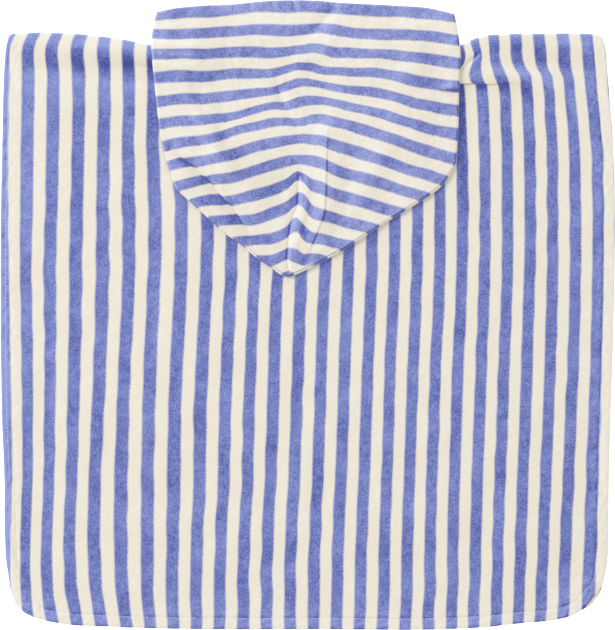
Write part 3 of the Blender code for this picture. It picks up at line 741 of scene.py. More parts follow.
def top_columns(start, stop):
    """Places across a shoulder, from its hemmed side to the neck."""
    side = math.copysign(1.0, stop - start)
    hem = [start + side * offset for offset in (0.0, *HEM_OFFSETS)]
    count = int(math.ceil(abs(stop - hem[-1]) / EDGE_STEP))
    return np.array([*hem, *np.linspace(hem[-1], stop, count + 1)[1:]])


def panel_outline(grow, top_of, neck):
    """A panel's closed outline in the flat, its hem lines, its neckline and two rows of shoulder points."""
    edge = even_points(smooth_line(HEM_EDGE), EDGE_STEP)
    outward = normals(edge)
    away = np.linalg.norm(edge - PEEK_AT, axis=1)
    edge = edge + outward * (grow * bell(away / PEEK_REACH))[:, None]
    lines = [edge - outward * offset for offset in (0.0, *HEM_OFFSETS)]
    rows = []
    for end, stop in ((0, NECK_LEFT), (-1, NECK_RIGHT)):
        across = top_columns(edge[end, 0], stop)
        row = np.column_stack([across, top_of(across)])
        for k, line in enumerate(lines):
            line[end] = row[k]
        rows.append(row)
    left_row, right_row = rows
    edge = lines[0]
    scoop = even_points(smooth_line([left_row[-1] / MM, *neck, right_row[-1] / MM]), EDGE_STEP)
    outline = np.vstack([edge, right_row[1:], scoop[::-1][1:-1], left_row[::-1][:-1]])
    return outline, edge, lines[1:], scoop, left_row, right_row


def clear_of(step, edge, *lines):
    """Lines with the distance that a lattice of this step keeps from each."""
    return [(edge, HEM_OFFSETS[-1] + step / 2), *((line, step / 2) for line in lines)]


def area_inside(outline):
    """Area of a closed outline."""
    x, y = outline.T
    return abs(float(np.sum(x * np.roll(y, -1) - y * np.roll(x, -1)))) / 2


# %% [markdown]
# ## The front panel
#
# It is one rectangle of cloth with round bottom corners and a scooped neck. It lies underneath, flat on
# the surface, and shows as a thin line at one corner. Its right side is face down, so its stitches lie in
# the groove of the underside, where someone who turns the poncho over finds them. Stripes are seldom
# matched at the seams of a towel, so these stand beside those of the back, and cream shows in that thin
# line.

# %% Front panel
FRONT_OFFSET = 0.295  # how far its stripes stand from the back's, in pitches
FRONT_GROOVE = 0.6  # its stitches pull it this much as deep as the back's, on both faces


def shoulder_seam(x):
    """Where the seam of the shoulders lies, underneath the roll."""
    return roll_start(x) - SHOULDER_STRIP - CLEARANCE


def front_panel():
    """The layer that rests on the surface."""
    outline, edge, offsets, *others = panel_outline(PEEK, shoulder_seam, FRONT_NECK)
    xy, faces, _ = panel_net(outline, offsets, FRONT_STEP, clear_of(FRONT_STEP, edge, *others))
    d = nearest(edge, xy)[0]
    half = thickness(d) / 2
    face = half * hem_rounding(d) - stitch_dip(d) * FRONT_GROOVE
    skins = [[np.column_stack([xy, half + side * face])] for side in (1.0, -1.0)]
    stripe = body_stripes(xy[:, 0], xy[:, 1]) + FRONT_OFFSET
    return close_shell("front_cloth", *skins, faces, [stripe], [hem_tone_and_painted_shade(d)]), edge, area_inside(outline)


front, front_edge, front_area = front_panel()
print(f"front: {front_area:.3f} square metres flat")

# %% [markdown]
# ## The back panel
#
# The back is the layer on top. At each shoulder it rolls over the fold and runs back underneath to the
# shoulder seam, so the fold is round and the seam stays out of sight. The net gets rows of points up and
# below the tuck's edge and beside each narrow crease, because an even lattice is too coarse for them.

# %% Back panel
BELOW_TUCK = 0.5, 1.3, 2.6  # rows of points below the tuck's edge, in millimetres
TUCK_CLEAR = 3.6 * MM  # how far the lattice keeps from it
BESIDE_CREASE = -4.0, -2.5, -1.2, 0.0, 1.2, 2.5, 4.0  # rows beside a narrow crease
CREASE_STEP = 2.2 * MM  # between the points of such a row
CREASE_CLEAR = 5.5 * MM
STRIP_ROWS = 0.33, 0.67, 1.0  # rows of points on the strip underneath, as shares of it


def roll_point(x, start, turn, d, past):
    """The two skins where the back is rolled through turn, then past it underneath."""
    half = thickness(d) / 2
    found = []
    for side in (1.0, -1.0):
        radius = FOLD_RADIUS - half + side * half * hem_rounding(d)
        y = start + radius * math.sin(turn) - past
        z = FOLD_RADIUS + radius * math.cos(turn)
        found.append(np.column_stack([x, y, np.broadcast_to(z, x.shape)]))
    return found


def back_panel():
    """The layer on top, with its shoulders rolled over to the seams underneath."""
    outline, edge, offsets, scoop, left_row, right_row = panel_outline(0.0, roll_start, BACK_NECK)
    start, stop = TUCK[0][0] * MM, TUCK[-1][0] * MM
    tuck_x = np.linspace(start, stop, int((stop - start) / EDGE_STEP))
    tuck = np.column_stack([tuck_x, tuck_line(tuck_x)])
    lines = [*offsets, *(tuck + (0.0, LEDGE_RUN * share) for share in LEDGE_ROWS)]
    lines += [tuck - (0.0, down * MM) for down in BELOW_TUCK]
    narrow = [crease_line(stations) for _, reach, *stations in BACK_CREASES if min(reach) < NARROW]
    narrow = [even_points(line, CREASE_STEP) for line in narrow]
    lines += [line + normals(line) * away * MM for line in narrow for away in BESIDE_CREASE]
    keep_off = clear_of(CLOTH_STEP, edge, scoop, left_row, right_row)
    keep_off += [(tuck, TUCK_CLEAR), *((line, CREASE_CLEAR) for line in narrow)]
    xy, faces, place = panel_net(outline, lines, CLOTH_STEP, keep_off)
    x, y = xy.T
    d = nearest(edge, xy)[0]
    shifted = y - ledge_shift(x, y)
    outer, inner = ([np.column_stack([x, shifted, z])] for z in back_skins(x, y, d))
    stripe = [body_stripes(x, y)]
    tone = [back_tone_and_painted_light(x, y, d)]
    count = len(xy)
    rows = [(turn, 0.0) for turn in np.linspace(0.0, math.pi, FOLD_STEPS + 1)[1:]]
    rows += [(math.pi, SHOULDER_STRIP * share) for share in STRIP_ROWS]
    right_places = [place[len(edge) - 1 + k] for k in range(len(right_row))]
    left_places = [place[-k] for k in range(len(left_row))]
    for row, before in ((left_row, left_places), (right_row, right_places)):
        across, up = row.T
        inward = np.abs(across - across[0])
        for turn, past in rows:
            out, into = roll_point(across, roll_start(across), turn, inward, past)
            outer.append(out)
            inner.append(into)
            stripe.append(body_stripes(across, up + (FOLD_RADIUS - WALL / 2) * turn + past))
            tone.append(back_tone_and_painted_light(out[:, 0], out[:, 1], inward))
            now = list(range(count, count + len(row)))
            count += len(row)
            strip = [(before[k], before[k + 1], now[k + 1], now[k]) for k in range(len(row) - 1)]
            faces += strip if across[0] < 0 else [face[::-1] for face in strip]
            before = now
    rolls = math.pi * (FOLD_RADIUS - WALL / 2) + SHOULDER_STRIP
    area = area_inside(outline) + (length_of(left_row) + length_of(right_row)) * rolls
    return close_shell("back_cloth", outer, inner, faces, stripe, tone), edge, area


back, back_edge, back_area = back_panel()
print(f"back: {back_area:.3f} square metres flat")

# %% [markdown]
# ## The hood
#
# The hood is a bag of two layers. It is cut in one piece across the head, folded at both sides and closed
# by a seam down the back of the head, which ends in the point at the bottom. A bag that is pressed flat
# has round folded sides, so the shell goes over them in a half circle, and its mouth is open at the top.
#
# Its net is a patch stretched between the four edges. Sharp lines in cloth only look sharp if a line of
# the net runs along them, so one column follows the seam, another the crease beside it, and one row
# follows the foot of the pleat. Columns and rows crowd towards those, because a valley needs points on
# its floor and on both walls. The columns next to the seam are spaced evenly again at the end: the round
# tip presses them together, and slivers of faces would shade badly.

# %% Sizes of the hood
HOOD_AIR = 0.3 * MM  # least space between the hood's two layers, besides the clearance
HOOD_LIFT = 1.5 * MM  # more of it away from the edges, which leaves room for troughs
HOOD_LIFT_REACH = 16.0 * MM, 62.0 * MM  # how far in from the left side and from the right one that takes
HOOD_LIFT_PLACES = -50.0 * MM, 80.0 * MM  # across, where the first and where the second holds
HOOD_EDGE_PUFF = 0.5 * MM  # how much more the folded sides of the bag stand open
HOOD_EDGE_REACH = 22.0 * MM  # how far in from the folded side they do
HOOD_FOLDS_FROM = 9.0 * MM  # how far in from it the folds have their full height
HOOD_MAX_PUFF = 5.4 * MM
HOOD_SAG = 2.4 * MM  # how far the mouth droops past the shoulders
HOOD_SAG_LENGTH = 38.0 * MM
HOOD_REST = 9.0 * MM  # the hood bridges hollows narrower than this
HOOD_WANDER = (
    # height, size, seed
    (0.18, 30, 21),
    (0.08, 12, 22),
)
HOOD_FOLD_STEPS = 12  # facets round the bag's folded sides
MOUTH_HEM = 13.0 * MM  # from the mouth to the stitches of its hem
MOUTH_DIP = 0.35 * MM  # how far they pull the cloth down
MOUTH_DIP_REACH = 1.6 * MM

HOOD_COLUMNS = 162
HOOD_ROWS = 112
SEAM_COLUMN = 74  # the column of the hood's net that its seam follows
SEAM_SHARE = 0.47  # its place between the left side and the right
SEAM_PULL = 0.14  # how far to each side the columns go along when it is bent, as a share
SEAM_AT_MOUTH = 0.478  # its place along the mouth
SEAM_AT_NECK = 0.46  # its place along the neckline underneath
EVEN_COLUMNS = 6  # columns on each side of it that are spaced evenly at the end
EVEN_FROM = 0.05  # share up the net from which they are fully
CREASE_STEPS = 22  # columns from the seam to the sharp crease beside it
CREASE_SHARE = 0.17  # its place between the seam and the right side where nothing pulls it
CREASE_FROM = 0.06  # share up the net by which the column has come over to it
COLUMN_CROWD = 1.3  # how strongly the columns crowd towards the seam
PLEAT_ROW = 14  # the row that follows the foot of the pleat on the left side
PLEAT_SHARE = 0.085  # that row's place between the lower edge and the mouth
PLEAT_FELT = 0.32  # the rows below this share up the net go along with it
PLEAT_FROM = 0.05  # share across the net by which it has come over to the pleat
PLEAT_TO = -62, -37  # across, where it begins to leave the pleat and where it has left it
ROW_CROWD = 1.15  # how strongly the rows crowd towards it from above
CROWDING = 0.5  # how much closer together they are at both ends of a part than in its middle
MOUTH_ROWS = 0.0104, 0.0078, 0.0054, 0.0032, 0.0016, 0.0006  # more rows at the mouth, as shares
MOUTH_GAP = 1.3  # the row below those is this many times as far from the mouth as their first

# The hood's outline: left side down, lower edges to the tip and up, right side up (across, up).
HOOD_LEFT = (
    (-147, 297), (-149.2, 289), (-151, 279.5), (-152.5, 266), (-151.5, 250), (-146.5, 197),
    (-142.5, 169), (-135.5, 143.5), (-129, 123.5),
)
HOOD_TIP_LEFT = (
    (-129, 123.5), (-104.5, 101.5), (-81, 80), (-64, 68), (-48, 54.5), (-35, 46), (-26, 39.5),
    (-18, 37),
)
HOOD_TIP_RIGHT = (
    (-18, 37), (-9, 40.5), (11.5, 50.5), (35, 63.5), (81, 93), (113.5, 113), (129, 124), (139, 137),
    (145.5, 150),
)
HOOD_RIGHT = (
    (145.5, 150), (147.5, 179), (148.5, 229), (149.5, 255), (148.5, 266), (146, 283), (143.5, 295),
)
# The mouth of the hood, left to right, on its upper and its under layer (across, up).
HOOD_MOUTH = (
    (-143.6, 296.6), (-134.5, 298.6), (-104.5, 301.9), (-76, 303.5), (-36.5, 307.2), (2.5, 307.5),
    (36, 305), (90.5, 302.1), (118, 299.8), (131, 297.1), (140.1, 294.8),
)
HOOD_NECK = (
    (-143.6, 295), (-134, 283), (-122, 268), (-106, 256), (-80, 250.5), (-0.5, 247), (85, 250.5),
    (110, 256), (125, 267), (133, 279), (140.1, 292),
)
# The seam of the hood, from the tip up (up, across).
HOOD_SEAM = (
    (37, -18), (55, -19.3), (67, -18.9), (80, -17.3), (93.5, -15), (101, -11.5), (108, -8.8),
    (141, -8.2), (308, -8),
)
SEAM_TOP = 142.0 * MM
SEAM_GROWTH = 22.0 * MM  # length over which the seam's valley reaches its full depth
SEAM_VALLEY = 1.1 * MM
SEAM_VALLEY_REACH = 1.4 * MM
SEAM_RIDGE = 0.5 * MM
SEAM_RIDGE_AWAY = 9.0 * MM
SEAM_RIDGE_REACH = 7.0 * MM

# %% Folds of the hood
# Soft ridges in the upper layer: middle, length, width, turn from the X axis, height.
HOOD_FOLDS = (
    # across, up, length, width, turn, rise
    (-84, 262, 170, 46, 8, 0.5), (84, 258, 160, 44, -8, 0.5), (84, 158, 130, 44, -32, 0.5),
    (-104, 112, 80, 18, -44, 0.5),
)
# Creases: name, reach to the left and right along the line, then stations (across, up, rise).
HOOD_CREASES = (
    ("crest from the mouth down to the seam", (9, 8), (37, 282.5, 0), (28, 271.5, 0.7), (17, 261, 1.1),
     (-6.5, 245, 1.3), (-3.5, 229.5, 1.1), (14.5, 212, 0.8), (24, 194.5, 0.9), (15.5, 174.5, 0.9),
     (6, 148, 0)),
    ("trough from the pucker in the mouth", (3.5, 5.5), (29, 309, -1), (26, 299, -1.3),
     (10.5, 281.5, -1.2), (-7.5, 268, -0.5), (-22, 258, 0)),
    ("ridge left of the crest", (6, 5), (-56.5, 226.5, 0), (-48.5, 219, 0.8), (-36.5, 204, 1.1),
     (-24, 190.5, 0.9), (0.5, 162, 0)),
    ("kink between them", (3, 4.5), (-34.5, 232.5, 0), (-28, 222.5, -1.2), (-21.5, 204, -1.3),
     (-10, 186.5, -0.8), (-2.5, 178.5, 0)),
    ("long ridge down the left side", (5.5, 10), (-127, 250, 0), (-118, 225.5, 0.7), (-104, 194, 1.1),
     (-92, 174, 1.4), (-84.5, 152.5, 1.6), (-69.5, 138.5, 1.7), (-50, 117, 1.3), (-24, 92, 0)),
    ("pleat below that ridge", (2.6, 7), (-136, 167, 0), (-129, 160, -0.5), (-122, 153, -0.9),
     (-112.5, 145.5, -1), (-102, 136.5, -1), (-94, 129, -1), (-86.5, 119.5, -1), (-79.5, 111, -1),
     (-71, 102.5, -0.9), (-63.8, 91, -0.8), (-58, 83, -0.7), (-50, 75, -0.5), (-42, 68, 0)),
    ("line at the foot of the pleat", (1, 1.3), (-131, 162, 0), (-122, 153, -0.7),
     (-112.5, 145.5, -0.9), (-102, 136.5, -1), (-94, 129, -0.9), (-86.5, 119.5, -0.8),
     (-79.5, 111, -0.7), (-71, 102.5, -0.5), (-58, 83, -0.4), (-50, 75, 0)),
    ("fold left of the pleat", (5, 7), (-134, 152, 0), (-124, 144.5, 0.6), (-110, 132, 0.8),
     (-97, 117, 0.8), (-83, 99.5, 0.7), (-70, 84, 0.5), (-58, 72, 0)),
    ("second pleat near the edge", (3, 2), (-111, 121, 0), (-101, 110.5, -0.8), (-92, 97, -1),
     (-80.5, 86, 0)),
    ("hollow left of the seam", (8, 9), (-102.5, 260, 0), (-92, 235.5, -0.4), (-84.5, 215, -0.9),
     (-78.5, 174.5, -1.3), (-64, 158, -1.5), (-48.5, 140.5, -1.5), (-32.5, 125.5, -1.3), (-15, 121, 0)),
    ("sharp crease beside the seam", (0.8, 13), (20, 186, 0), (18.6, 160, 0.8), (18, 134, 1.1),
     (17.2, 114, 1.2), (15.6, 98, 1.2), (11.6, 87, 1.2), (4.4, 70, 1.1), (-2, 56, 0.8), (-9, 44, 0)),
    ("fall beyond that crease", (17, 14), (21, 186, 0), (19.6, 160, 0.6), (19, 134, 1),
     (18.2, 114, 1.2), (16.6, 98, 1.2), (12.6, 87, 1.1), (5.4, 70, 0.8), (-1, 56, 0.5), (-8, 44, 0)),
    ("fall towards the seam", (2.5, 22), (-9, 143, 0), (-9, 128, -0.9), (-9.5, 110, -1.2),
     (-15, 94, -1.2), (-17.5, 80, -1), (-19, 66, -0.8), (-18, 50, 0)),
    ("edge of the seam's turned cloth", (0.9, 6), (-3, 139, 0), (0.5, 131, 0.6), (0.8, 118, 0.5),
     (-0.5, 104, 0.6), (-4, 92, 0.7), (-6.5, 80, 0.6), (-10, 66, 0.4), (-13, 52, 0)),
    ("hollow right of the crease", (13, 12), (30, 183.5, 0), (41, 162, -0.8), (42, 134.5, -1.1),
     (34, 108, -1), (17, 69, 0)),
    ("ridge beyond that hollow", (8, 11), (90, 182, 0), (76, 162, 0.7), (67, 143, 0.9), (56, 117, 0.8),
     (40, 88, 0)),
    ("swell of the right side", (14, 14), (86, 260, 0), (63.5, 244.5, 0.6), (77, 217, 0.8),
     (92.5, 193.5, 0.9), (106.5, 171.5, 0.9), (110.5, 147, 0.8), (95.5, 122.5, 0.4), (81, 108, 0)),
    ("pucker in the mouth", (2.2, 3), (-57, 310, -1.2), (-55.5, 303, -1), (-50, 292, 0)),
    ("pucker in the mouth", (1.8, 2.4), (-36, 310, -1.1), (-34, 304, -1), (-29, 294, 0)),
    ("pucker in the mouth", (1.8, 2.6), (-14.5, 310, -1.1), (-12.5, 304, -1), (-9, 295, 0)),
    ("fold in the mouth", (2.2, 1.5), (20, 308, -1.5), (24, 301.5, -1.7), (29.5, 296.5, -1.3),
     (35, 293, 0)),
    ("crumple at the top of the seam", (2.2, 1.6), (-16, 151, 0), (-12, 146.5, -1.3), (-8, 143, -1.6),
     (-3, 136, -1), (-1, 130, 0)),
    ("crumple on the seam", (2.4, 2.4), (-17, 98, 0), (-12, 93, 0.9), (-7, 86, 1), (-2, 78, 0)),
)
# Soft ovals of tone on the hood: painted shade and light along its creases, folds and edges, and some
# uneven tone of the nap.
HOOD_PAINTED_SHADE_AND_NAP = (
    # across, up, length, width, turn, tone
    (-46, 130, 120, 40, -45, -0.26), (-88, 104, 150, 30, -43, -0.2), (-122, 147, 44, 20, -50, -0.14),
    (-82, 141, 34, 15, -50, 0.2), (-94, 162, 50, 14, 80, 0.15), (-37, 72, 34, 20, -40, -0.3),
    (-20, 130, 44, 20, 0, -0.2), (36, 188, 120, 80, 0, 0.1), (28, 205, 200, 42, 90, 0.13),
    (12, 112, 130, 15, 84, 0.2), (7, 62, 56, 20, 64, 0.34), (84, 128, 84, 46, 20, 0.15),
    (106, 97, 40, 14, 30, -0.2), (-113, 197, 90, 16, -68, 0.17), (-97, 178, 26, 16, 0, 0.12),
    (-77, 184, 70, 16, 90, -0.14), (-5, 279, 300, 15, 0, -0.17), (-130, 272, 46, 16, 0, -0.2),
    (98, 276, 30, 13, 0, -0.2), (-82, 298, 86, 18, 2, 0.24), (20, 287, 40, 22, 90, 0.16),
    (-120, 296, 60, 20, 3, -0.1), (128, 292, 40, 18, -8, 0.14), (-94, 263, 32, 14, 0, 0.2),
    (14, 257, 32, 24, 0, 0.36), (78, 258, 44, 20, -10, 0.2), (66, 238, 56, 18, -18, 0.24),
    (-110, 235, 56, 16, 0, 0.34), (-143, 200, 190, 20, 88, -0.15), (140, 170, 150, 16, 88, 0.14),
    (96, 110, 150, 18, 38, 0.14), (-6, 137, 20, 12, 0, -0.3),
)

# %% Hood
def support(x, y):
    """Height of what the hood lies on, the highest within its reach."""
    over = np.full(x.shape, -np.inf)
    for dx in (-HOOD_REST, 0.0, HOOD_REST):
        for dy in (-HOOD_REST, 0.0, HOOD_REST):
            at = np.minimum(y + dy, roll_start(x + dx))
            relief = np.maximum(back_relief(x + dx, at), 0.0)
            over = np.maximum(over, rolled(x + dx, at, WALL + CLEARANCE + WALL, relief))
    return over - HOOD_SAG * smoothstep((y - fold_line(x)) / HOOD_SAG_LENGTH)


def seam_across(y):
    """Where the hood's seam lies at height y."""
    return read_table(HOOD_SEAM, y)


def hood_crease(name):
    """The line of a crease of the hood."""
    return crease_line(next(row[2:] for row in HOOD_CREASES if row[0] == name)).T


def crease_across(y):
    """Where the sharp crease beside the seam lies at height y."""
    across, up = hood_crease("sharp crease beside the seam")
    return np.interp(y, up[::-1], across[::-1])


def pleat_up(x):
    """How high the foot of the pleat lies at x."""
    return np.interp(x, *hood_crease("pleat below that ridge"))


def seam_relief(x, y):
    """The valley of the hood's seam and the ridges along it."""
    away = np.abs(x - seam_across(y))
    grown = smoothstep((SEAM_TOP - y) / SEAM_GROWTH)
    ridge = SEAM_RIDGE * bell((away - SEAM_RIDGE_AWAY) / SEAM_RIDGE_REACH)
    return grown * (ridge - SEAM_VALLEY * bell(away / SEAM_VALLEY_REACH))


def crowded(count, share):
    """Shares from 0 to the given one, in count steps that are closest at both ends."""
    steps = np.linspace(0.0, 1.0, count + 1)
    return share * (steps - CROWDING * np.sin(2 * math.pi * steps) / (2 * math.pi))


def column_shares(middle):
    """Shares of the columns along a line whose seam point is at the share middle of its length."""
    left = 1.0 - np.linspace(1.0, 0.0, SEAM_COLUMN + 1) ** COLUMN_CROWD
    steps = np.linspace(0.0, 1.0, HOOD_COLUMNS - SEAM_COLUMN - CREASE_STEPS + 1)[1:]
    beyond = CREASE_SHARE + (1.0 - CREASE_SHARE) * steps**COLUMN_CROWD
    right = np.array([*crowded(CREASE_STEPS, CREASE_SHARE)[1:], *beyond])
    return np.concatenate([left * middle, middle + right * (1.0 - middle)])


def row_shares():
    """Shares of the rows up the net, closer together at the foot of the pleat and at the mouth."""
    steps = np.linspace(0.0, 1.0, HOOD_ROWS - len(MOUTH_ROWS) - PLEAT_ROW)[1:]
    above = PLEAT_SHARE + (1.0 - MOUTH_ROWS[0] * MOUTH_GAP - PLEAT_SHARE) * steps**ROW_CROWD
    return np.array([*crowded(PLEAT_ROW, PLEAT_SHARE), *above, *(1.0 - share for share in MOUTH_ROWS), 1.0])


def hood_patch(bottom, left, right, top, rows, warp):
    """A net of points between four edges, rows from the bottom edge up. With warp 1 it follows the folds."""
    columns = column_shares(SEAM_SHARE)
    s = columns[None, :, None]
    t = rows[:, None, None]
    net = (1 - t) * bottom[None] + t * top[None] + (1 - s) * left[:, None] + s * right[:, None]
    net -= (1 - s) * ((1 - t) * bottom[0] + t * top[0])
    net -= s * ((1 - t) * bottom[-1] + t * top[-1])
    # The seam's column goes over to the seam, and its neighbours go along.
    seam = SEAM_COLUMN
    shift = seam_across(net[:, seam, 1]) - net[:, seam, 0]
    near = bell((columns - columns[seam]) / SEAM_PULL) * warp
    net[:, :, 0] += shift[:, None] * near[None, :]
    # So does the crease's column.
    crease = seam + CREASE_STEPS
    shift = (crease_across(net[:, crease, 1]) - net[:, crease, 0]) * smoothstep(rows / CREASE_FROM) * warp
    near = np.interp(columns, (columns[seam], columns[crease], 1.0), (0.0, 1.0, 0.0))
    net[:, :, 0] += shift[:, None] * near[None, :]
    # So does the pleat's row, as far as the pleat goes.
    x, y = net[PLEAT_ROW].T
    on_pleat = smoothstep(columns / PLEAT_FROM) * (1.0 - ramp(x, *PLEAT_TO))
    near = np.interp(rows, (0.0, PLEAT_SHARE, PLEAT_FELT), (0.0, 1.0, 0.0))
    net[:, :, 1] += near[:, None] * ((pleat_up(x) - y) * on_pleat * warp)[None, :]
    # The columns beside the seam are spaced evenly.
    ease = smoothstep(rows / EVEN_FROM)[:, None, None]
    for start in (seam - EVEN_COLUMNS, seam):
        beside = slice(start, start + EVEN_COLUMNS + 1)
        span = columns[beside]
        share = ((span - span[0]) / (span[-1] - span[0]))[None, :, None]
        even = (1 - share) * net[:, beside][:, :1] + share * net[:, beside][:, -1:]
        net[:, beside] += ease * (even - net[:, beside])
    return net


# %% [markdown]
# ## Bands of the hood
#
# On the hood the stripes run from side to side. They rise to a ridge at the crest, are squeezed where the
# cloth is gathered above the seam, and meet in a chevron along the seam, because the two edges that are
# sewn together slope. One row of the table follows each blue band, with its height at the same sixteen
# places across. At the foot of the pleat some cloth is hidden in the fold, so the bands jump there, and
# its far side gets a painted shade.

# %% Bands of the hood
BAND_PITCH = -21.8 * MM  # they are counted down from the mouth
FIRST_BAND = 0.82  # nothing of the band before the first shows at the mouth
HOOD_WAVER = 30, 8  # size in millimetres, seed
CHEVRON_PEAK = 1.8 * MM  # how far the bands peak right at the seam, over the heights in the table
CHEVRON_REACH = 2.8 * MM
PLEAT_SLOPE = 0.72  # distance from the pleat, as a share of the height above or below it
PLEAT_START = -134, -122  # across, where the pleat begins and where it is full
PLEAT_END = -46, -76  # across, where it has ended and where it is still full
PLEAT_JUMP = 1.3 * MM  # how far the bands jump each way at the foot of the pleat
PLEAT_JUMP_RUN = 0.8 * MM  # within how far of it they do
PLEAT_JUMP_REACH = 6.0 * MM
# Its painted shade: how far past the foot, reach, tone.
PLEAT_PAINTED_SHADE = (
    (0.5, 1.3, -0.55),
    (4, 4.5, -0.26),
)
BAND_PLACES = (-152, -124, -96, -70, -51, -34, -20, -10, -4, 4, 13, 25, 42, 71, 110, 150)
HOOD_BANDS = (
    # height of the middle of each blue band at those places
    (291, 294.5, 296, 299, 301.5, 302, 301.5, 301.5, 301.5, 301.5, 301, 300.5, 299, 297.5, 295.5, 290.5),
    (274, 273.5, 275, 277, 278.5, 278, 277.5, 278, 278.5, 279, 280, 278.5, 275.5, 273.5, 272.5, 267),
    (254, 254.5, 254.5, 256.5, 256.5, 255.5, 256.5, 258.5, 259, 260.5, 259.5, 256, 255.5, 254.5, 250.5, 245),
    (231.5, 232.5, 233, 235.5, 235.5, 236, 240, 242.5, 242, 241, 239, 238, 237, 236, 227.5, 222),
    (207.5, 210.5, 211.5, 214.5, 216.5, 218.5, 223.5, 226.5, 227, 226.5, 225, 222, 219.5, 216, 205.5, 199),
    (185, 189.5, 190.5, 194.5, 200, 204, 204, 207, 208.5, 209, 209, 207, 203.5, 196.5, 184.5, 175),
    (161.5, 168.5, 171.5, 180.5, 184, 188, 189, 188, 188.5, 191, 191.5, 189, 184.5, 176, 162, 150.5),
    (141.5, 148, 152, 157.5, 164.5, 168, 170.5, 171.5, 172, 171, 170.5, 165.5, 161, 151.5, 138.5, 127.5),
    (120, 126.5, 132, 135, 141, 146.5, 150, 151, 151, 151, 148.5, 142.5, 137, 129, 116.5, 106.5),
    (101.5, 107, 112, 112.5, 117.5, 122, 128, 136, 134, 127, 124, 118, 114, 105, 95, 86),
    (84, 88, 91.5, 93, 93.5, 99.5, 105.5, 112, 112, 102, 98, 95, 89.5, 83, 75, 67),
    (65, 67.5, 69.5, 71, 73, 75, 80.5, 88, 80.5, 75, 74, 71, 68, 62.5, 56, 49.5),
    (48.5, 49.5, 50.5, 52, 54, 54, 58.5, 56, 53.5, 55.5, 54.5, 50.5, 46.5, 42.5, 37.5, 32.5),
)


def past_pleat(x, y):
    """How far a place lies past the foot of the pleat, towards the edge, and the pleat's strength there."""
    return PLEAT_SLOPE * (pleat_up(x) - y), ramp(x, *PLEAT_START) * ramp(x, *PLEAT_END)


def hood_bands(x, y):
    """Number of the band at each point of the hood."""
    line = knot_weights(np.array(BAND_PLACES) * MM, x) @ (np.array(HOOD_BANDS).T * MM)
    sewn = smoothstep((SEAM_TOP - y) / SEAM_GROWTH)
    peak = CHEVRON_PEAK * np.exp(-np.abs(x - seam_across(y)) / CHEVRON_REACH) * sewn
    past, strength = past_pleat(x, y)
    jump = PLEAT_JUMP * np.clip(past / PLEAT_JUMP_RUN, -1.0, 1.0) * np.exp(-np.abs(past) / PLEAT_JUMP_REACH)
    count = count_stripes(line, range(1, len(HOOD_BANDS) + 1), y - peak - jump * strength, BAND_PITCH)
    return np.maximum(count + WAVER * soft_waves(x, y, *HOOD_WAVER), FIRST_BAND)


def hood_tone_and_painted_shade(x, y):
    """Painted shade and light along the folds with some uneven tone of the nap, and painted shade past the
    pleat.
    """
    past, strength = past_pleat(x, y)
    return ridges(HOOD_PAINTED_SHADE_AND_NAP, x, y) / MM + soft_lines(PLEAT_PAINTED_SHADE, past) * strength


